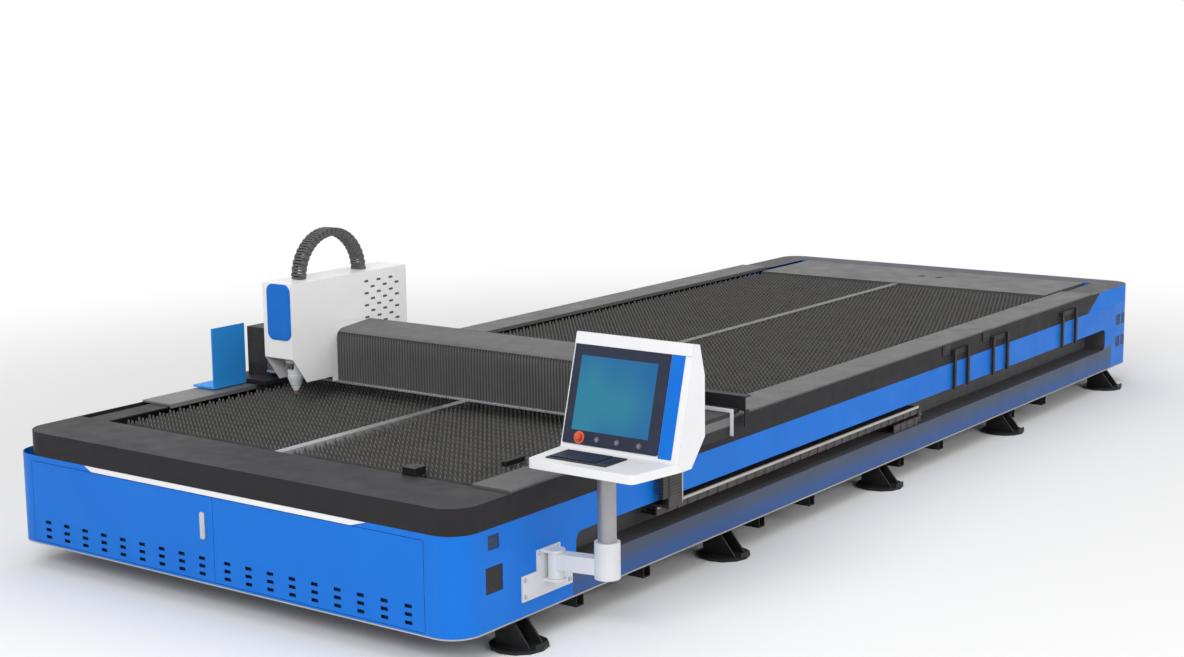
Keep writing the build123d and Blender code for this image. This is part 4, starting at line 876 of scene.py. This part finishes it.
# Head: turned cutting head with its lens drawer, and the nozzle under it.
# Profiles are (radius, height), the nozzle's over its tip
head = {
    "axis": 0.056,  # behind the head's front
    "profile": ((0.014, 0.826), (0.017, 0.828), (0.019, 0.84), (0.025, 0.842), (0.028, 0.856),
                (0.034, 0.862), (0.036, 0.874), (0.044, 0.892), (0.046, 0.9), (0.046, 0.918),
                (0.044, 0.92), (0.044, 0.926), (0.046, 0.928), (0.046, 0.984), (0.052, 0.986),
                (0.056, 0.992), (0.056, 1.03), (0.054, 1.032), (0.054, 1.038), (0.056, 1.04),
                (0.056, 1.098), (0.05, 1.106), (0.036, 1.112), (0.036, 1.14), (0.034, 1.142),
                (0.034, 1.15), (0.036, 1.152), (0.036, 1.178), (0.032, 1.18)),
    "mount": (0.05, 0.04, 1.01, 1.09),  # start behind the axis, half width, heights
    "edge": 0.002,
    "drawer": (0.0535, 0.03, 0.026, 0.955, 0.985),  # reach, start, half width, heights
    "drawerKnob": ((0.007, 0.0), (0.007, 0.004), (0.005, 0.0055)),
    "screws": 6,
    "screwCircle": 0.048,
    "screwHeight": 1.1045,
    "screw": ((0.0035, 0.0), (0.0035, 0.0015), (0.0028, 0.002)),
    "tip": ((0.0015, 0), (0.0032, 0), (0.0045, 0.002), (0.0095, 0.012), (0.0105, 0.013),
            (0.0105, 0.021), (0.0138, 0.022)),
    "tipTop": ((0.0138, -0.002), (0.012, 0)),  # from the nozzle's top
}


def makeHead(look):
    low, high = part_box("cutting_head")
    axisX, axisY = low.x + look["axis"], (low.y + high.y) / 2
    body = Shape()
    body.lathe(look["profile"], (axisX, axisY, 0), steps=56)
    start, half, bottom, top = look["mount"]
    body.box((axisX + start, axisY - half, bottom), (high.x, axisY + half, top), look["edge"])
    makePiece("cuttingHeadBody", body, "headMetal", "head", ["cutting_head"],
              smooth=30)
    drawer = Shape()
    reach, start, half, bottom, top = look["drawer"]
    drawer.box((axisX - reach, axisY - half, bottom), (axisX - start, axisY + half, top),
               look["edge"])
    drawer.lathe(look["drawerKnob"], (axisX - reach, axisY, (bottom + top) / 2),
                 direction=(-1, 0, 0), steps=20)
    for k in range(look["screws"]):
        angle = 2 * pi * (k + 0.5) / look["screws"]
        drawer.lathe(look["screw"], (axisX + look["screwCircle"] * cos(angle),
                                     axisY + look["screwCircle"] * sin(angle),
                                     look["screwHeight"]), steps=6)
    makePiece("lensDrawer", drawer, "collarGrey", "head", smooth=30)
    tipLow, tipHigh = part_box("nozzle")
    profile = [(radius, tipLow.z + height) for radius, height in look["tip"]]
    profile += [(radius, tipHigh.z + height) for radius, height in look["tipTop"]]
    tip = Shape()
    tip.lathe(profile, (axisX, axisY, 0))
    makePiece("nozzleTip", tip, "nozzleCopper", "head", ["nozzle"], smooth=30)


makeHead(head)

# Head housing: rows of staggered vent slots in both sides, the bare blue front plate
housing = {
    "ventX": (-2.252, -1.99),
    "ventZ": (1.117, 1.4),
    "ventRows": 9,
    "ventColumns": 3,
    "ventSize": (0.036, 0.013),
    "ventRound": 0.49,  # corner, as a share of the slot's height
    "vent": (0.0005, 0.0006),  # how deep it starts, how far it stands out
    "plateCorner": (0.045, 0.038),  # of the plate and of its raised field
    "plateBorder": 0.008,
    "plateFace": (0.0, 0.002, 0.0025),  # field's front, plate's front, field's back
    "plateEdge": 0.0015,
}


def makeHousing(look):
    low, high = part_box("head_housing")
    vents = Shape()
    startX, endX = look["ventX"]
    startZ, endZ = look["ventZ"]
    deep, proud = look["vent"]
    corner = look["ventSize"][1] * look["ventRound"]
    stepX = (endX - startX) / (look["ventColumns"] - 0.5)
    stepZ = (endZ - startZ) / (look["ventRows"] - 1)
    for face, outward in ((low.y, -1), (high.y, 1)):
        for row in range(look["ventRows"]):
            for column in range(look["ventColumns"]):
                x = startX + (column + 0.5 * (row % 2)) * stepX
                z = startZ + row * stepZ
                outline = roundedOutline(*look["ventSize"], corner, 4, (x, z))
                vents.prism(outline, "y", face - outward * deep, face + outward * proud)
    makePiece("housingVents", vents, "slotShade", "carriage")
    plateLow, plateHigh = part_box("head_front_plate")
    plate = Shape()
    wide, tall = (plateHigh - plateLow).yz
    middle = ((plateLow + plateHigh) / 2).yz
    outerCorner, fieldCorner = look["plateCorner"]
    fieldFront, plateFront, fieldBack = (plateLow.x + reach for reach in look["plateFace"])
    border = 2 * look["plateBorder"]
    plate.prism(roundedOutline(wide, tall, outerCorner, 8, middle), "x", plateFront, plateHigh.x)
    plate.prism(roundedOutline(wide - border, tall - border, fieldCorner, 8, middle), "x",
                fieldFront, fieldBack)
    makePiece("headPlate", plate, "bluePaint", "carriage", ["head_front_plate"],
              bevel=look["plateEdge"])


makeHousing(housing)

# Closing frame round the bellows where they meet the housing's two cheeks
notch = {
    "front": -2.557,
    "top": 1.19,
    "back": -2.195,
    "thick": 0.0025,
    "overlap": 0.02,  # how far the frame covers the bellows
    "middle": -2.4,  # before this the overlap goes back, behind it forward
    "upper": 1.0,  # above this height it goes down
}


def makeNotchFrames(look):
    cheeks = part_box("head_housing")
    hidden = look["overlap"]
    for name, node, level, outward in (("notchFrameNear", "bellows_long", cheeks[0].y, 1),
                                       ("notchFrameFar", "bellows_short", cheeks[1].y, -1)):
        inner = [(x + hidden * (1 if x < look["middle"] else -1),
                  z if z < look["upper"] else z - hidden)
                 for x, z in bellowsRing(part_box(node), 0, bellows)]
        rim = [(look["front"], inner[0][1]), (look["front"], look["top"]),
               (look["back"], look["top"]), (look["back"], inner[-1][1])] + inner[::-1]
        start, end = sorted((level + outward * clearance, level + outward * look["thick"]))
        frameShape = Shape()
        frameShape.prism(rim, "y", start, end)
        makePiece(name, frameShape, "housingWhite", "carriage")


makeNotchFrames(notch)
print("head and housing made")

# Gantry ends: white hoop round the right cover's rear edge, folded wipers behind both
# saddles, and the chain's ribbed drop down the arm beside the bed with its light edge
gantryEnds = {
    "hoop": (0.022, 0.004, 0.004),  # how far it stands out, thickness, height of its foot
    "hoopInner": -1.36,
    "wiperX": -1.6995,
    "wiperThick": 0.008,
    "wiperHeights": (0.704, 0.79, 0.872),  # leg's foot, front's foot, top
    "wiperReach": (0.06, 0.045),  # how far the top and the leg run back
    "wiperLap": 0.005,
    "sides": ((-1.25, -1.613), (1.16, 1.515)),
    "edge": 0.001,
}
drop = {
    "top": 0.7,
    "bend": 0.06,
    "pitch": 0.016,
    "ribShare": 0.62,  # height of a rib, as a share of the pitch
    "front": (0.004, -0.002, -0.0035),  # rib on the arm's face: start, end, how far out
    "band": (0.052, 0.034),  # how far it stands before the arm, how deep it is
    "core": (0.006, 0.004, 0.003, 0.004),  # how much it lies inside the band: x, y, y, z
    "ribEdge": 0.001,
    "coreEdge": 0.002,
    "edgeWidth": 0.01,
    "edgeRise": 0.003,  # of the light edge over the run
    "edgeInward": 0.04,
    "edgeLap": 0.05,  # how far it runs on along the chain
    "edgeProud": 0.004,
    "steps": 8,
}


def makeGantryEnds(look):
    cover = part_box("end_cover_right")
    proud, thick, foot = look["hoop"]
    outerY, innerY, bottom = cover[0].y - proud, cover[0].y - clearance, cover[0].z + foot
    under, over = cover[1].z + clearance, cover[1].z + proud
    hoop = Shape()
    hoop.prism([(look["hoopInner"], under), (look["hoopInner"], over), (outerY, over),
                (outerY, bottom), (innerY, bottom), (innerY, under)],
               "x", cover[1].x - thick, cover[1].x)
    makePiece("coverHoop", hoop, "whitePaint", "gantry", bevel=look["edge"])
    wiper = Shape()
    front, skin, edge = look["wiperX"], look["wiperThick"], look["edge"]
    legFoot, frontFoot, top = look["wiperHeights"]
    topReach, legReach = look["wiperReach"]
    for inner, outer in look["sides"]:
        toward = 1 if outer > inner else -1
        low, high = sorted((inner, outer))
        wiper.box((front, low, frontFoot), (front + skin, high, top), edge)
        wiper.box((front + skin - edge, low, top - skin), (front + topReach, high, top), edge)
        low, high = sorted((outer, outer - toward * skin))
        wiper.box((front, low, legFoot), (front + legReach, high, frontFoot + look["wiperLap"]),
                  edge)
    makePiece("saddleWipers", wiper, "rimPaint", "gantry")


def makeDropRibs(look):
    arm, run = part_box("chain_arm"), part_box("chain_upper_run")
    ribs = Shape()
    low = run[1].z + look["bend"]
    start, end, out = look["front"]
    band, deep = look["band"]
    lap = look["ribEdge"]
    for number in range(int((look["top"] - low) / look["pitch"])):
        z = low + number * look["pitch"]
        top = z + look["pitch"] * look["ribShare"]
        ribs.box((arm[0].x + start, arm[0].y + out, z), (arm[1].x + end, arm[0].y + lap, top), lap)
        ribs.box((arm[0].x - band, arm[0].y + lap, z),
                 (arm[0].x + lap, arm[0].y + deep, top), lap)
    frontIn, sideIn, backIn, topIn = look["core"]
    ribs.box((arm[0].x - band + frontIn, arm[0].y + sideIn, low),
             (arm[0].x + lap, arm[0].y + deep - backIn, look["top"] - topIn), look["coreEdge"])
    makePiece("chainDropRibs", ribs, "chainPlastic", "gantry")


def makeDropEdge(look):
    # comes down the arm, bends into the slot and joins the run
    arm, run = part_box("chain_arm"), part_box("chain_upper_run")
    bend, half = look["bend"], look["edgeWidth"] / 2
    runTop = run[1].z + look["edgeRise"] - half
    startX, startY = arm[1].x + half + look["ribEdge"], arm[0].y
    centres = [Vector((startX, startY, look["top"]))]
    for k in range(look["steps"] + 1):
        angle = pi / 2 * k / look["steps"]
        turned, left = 1 - cos(angle), 1 - sin(angle)
        centres.append(Vector((startX + bend * turned, startY + look["edgeInward"] * turned,
                               runTop + bend * left)))
    centres.append(Vector((startX + bend + look["edgeLap"], run[0].y - look["edgeProud"] + half,
                           runTop)))
    rings = []
    for k, centre in enumerate(centres):
        along = centres[min(k + 1, len(centres) - 1)] - centres[max(k - 1, 0)]
        side = along.cross(Vector((0, 1, 0))).normalized() * half
        rings.append([centre + a * side + Vector((0, b * half, 0))
                      for a, b in ((1, 1), (1, -1), (-1, -1), (-1, 1))])
    edge = Shape()
    edge.sweep(rings)
    makePiece("chainDropEdge", edge, "lipGrey", "gantry", bevel=look["ribEdge"])


makeGantryEnds(gantryEnds)
makeDropRibs(drop)
makeDropEdge(drop)
print("gantry ends made")

# Bed trim: louvres in the side windows, light lip along the skirt, rear deck pulls,
# screens behind the doors' vents and the filler left of the front deck
bed = {
    "windows": [(-3.832, 0.563, 0.082, 0.07, "grilleBlue"),  # middle x and z, width, height
                (-3.83, 0.385, 0.126, 0.126, "grilleBlack")]
               + [(x, z, 0.08, 0.08, "grilleBlue") for z in (0.332, 0.501) for x in (3.825, 3.929)],
    "backing": (0.006, 0.0045, 0.0065),  # overlap, from and to behind the wall's face
    "louvre": 0.013,
    "louvreSide": 0.001,
    "slat": ((0.0005, -0.004), (0.0046, 0.003), (0.0046, 0.0045), (0.0005, -0.0025)),
    "lip": (0.007, 0.0012, -0.004),  # height, how far it stands out and reaches in
    "corner": 0.15,
    "pulls": ((3.54, -0.047), (3.54, -0.2)),
    "pull": (0.06, 0.044, 0.01),  # length, width, corner
    "pullHeights": (-0.001, 0.002),
    "screen": (0.0002, 0.0035, 0.03, 0.172, 0.29),  # from and to behind, side margin, heights
    "screenEdge": 0.0005,
    "infill": ((-3.6895, 1.2465, 0.752), (-3.245, 1.402, 0.76)),
    "infillEdge": 0.001,
}


def makeGrilles(look):
    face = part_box("front_shell")[0].y
    overlap, front, back = look["backing"]
    for number, (x, z, wide, tall, finish) in enumerate(look["windows"]):
        grille = Shape()
        grille.box((x - wide / 2 - overlap, face + front, z - tall / 2 - overlap),
                   (x + wide / 2 + overlap, face + back, z + tall / 2 + overlap))
        count = int(tall / look["louvre"])
        for k in range(count):
            low = z - tall / 2 + (k + 0.5) * tall / count
            grille.prism([(face + deep, low + up) for deep, up in look["slat"]], "x",
                         x - wide / 2 + look["louvreSide"], x + wide / 2 - look["louvreSide"])
        makePiece(f"sideGrille{number + 1}", grille, finish, "bed")


def makeSkirtLip(look):
    low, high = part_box("front_shell")
    tall, proud, inward = look["lip"]
    radius = look["corner"]
    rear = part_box("rear_shell")[1].x - proud * 1.5  # stays behind the rear wall's face
    left, right, near, far = low.x + radius, rear - radius, low.y + radius, high.y - radius
    corners = ((left, near), (right, near), (right, far), (left, far))
    arcs = []
    for corner, place in enumerate(corners):
        for k in range(9):
            angle = pi + pi / 2 * (corner + k / 8)
            arcs.append((*place, cos(angle), sin(angle)))
    lip = Shape()
    lip.sweep([[(x + (radius + reach) * c, y + (radius + reach) * s, level)
                for x, y, c, s in arcs]
               for reach, level in ((inward, low.z), (proud, low.z), (proud, low.z + tall),
                                    (inward, low.z + tall))], closed=True)
    makePiece("skirtLip", lip, "lipGrey", "bed")


def makeDeckParts(look):
    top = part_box("rear_deck")[1].z
    pulls = Shape()
    for place in look["pulls"]:
        wide, deep, corner = look["pull"]
        start, end = look["pullHeights"]
        pulls.prism(roundedOutline(wide, deep, corner, 5, place), "z", top + start, top + end)
    makePiece("deckPulls", pulls, "blackPaint", "bed")
    start, end, side, low, high = look["screen"]
    for node, body, name in (("door_left", "left_leaf", "ventScreenLeft"),
                             ("door_right", "right_leaf", "ventScreenRight")):
        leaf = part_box(node)
        screenShape = Shape()
        screenShape.box((leaf[1].x + start, leaf[0].y + side, low),
                        (leaf[1].x + end, leaf[1].y - side, high), look["screenEdge"])
        makePiece(name, screenShape, "grilleBlue", body)
    infill = Shape()
    infill.box(*look["infill"], look["infillEdge"])
    makePiece("leftDeckInfill", infill, "rimPaint", "bed")


makeGrilles(bed)
makeSkirtLip(bed)
makeDeckParts(bed)

# Bolt heads on the console bracket and the left end cover
bolts = {
    "head": 0.009,  # across its corners, halved
    "height": 0.006,
    "washer": 1.35,  # its radius, in head radii
    "washerShare": 0.2,  # its thickness, as a share of the height
    "chamfer": (0.85, 0.86),  # where it starts, how much of the head is left on top
    "bracketFace": -1.583,
    "bracket": ((-3.61, 0.242), (-3.61, 0.322), (-3.264, 0.242), (-3.264, 0.322),
                (-3.5, 0.43), (-3.35, 0.43)),
    "cover": (0.15, 0.5, 0.85),  # along the cover's foot
    "coverInset": (0.03, 0.012),  # from its outer side, over its foot
}


def hexBolt(shape, place, direction, look):
    radius, height = look["head"], look["height"]
    wide, thick = radius * look["washer"], height * look["washerShare"]
    level, share = look["chamfer"]
    shape.lathe([(wide, 0), (wide, thick)], place, direction, 24)
    start = Vector(place) + Vector(direction) * thick
    shape.lathe([(radius, 0), (radius, height * level), (radius * share, height)], start,
                direction, 6)


def makeBolts(look):
    shape = Shape()
    for x, z in look["bracket"]:
        hexBolt(shape, (x, look["bracketFace"], z), (0, -1, 0), look)
    makePiece("bracketBolts", shape, "handleSteel", "bed", smooth=30)
    low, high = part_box("end_cover_left")
    inset, over = look["coverInset"]
    shape = Shape()
    for share in look["cover"]:
        hexBolt(shape, (low.x + share * (high.x - low.x), high.y - inset, low.z + over),
                (0, 0, 1), look)
    makePiece("coverBolts", shape, "handleSteel", "gantry", smooth=30)


makeBolts(bolts)
print("trim and bolts made")
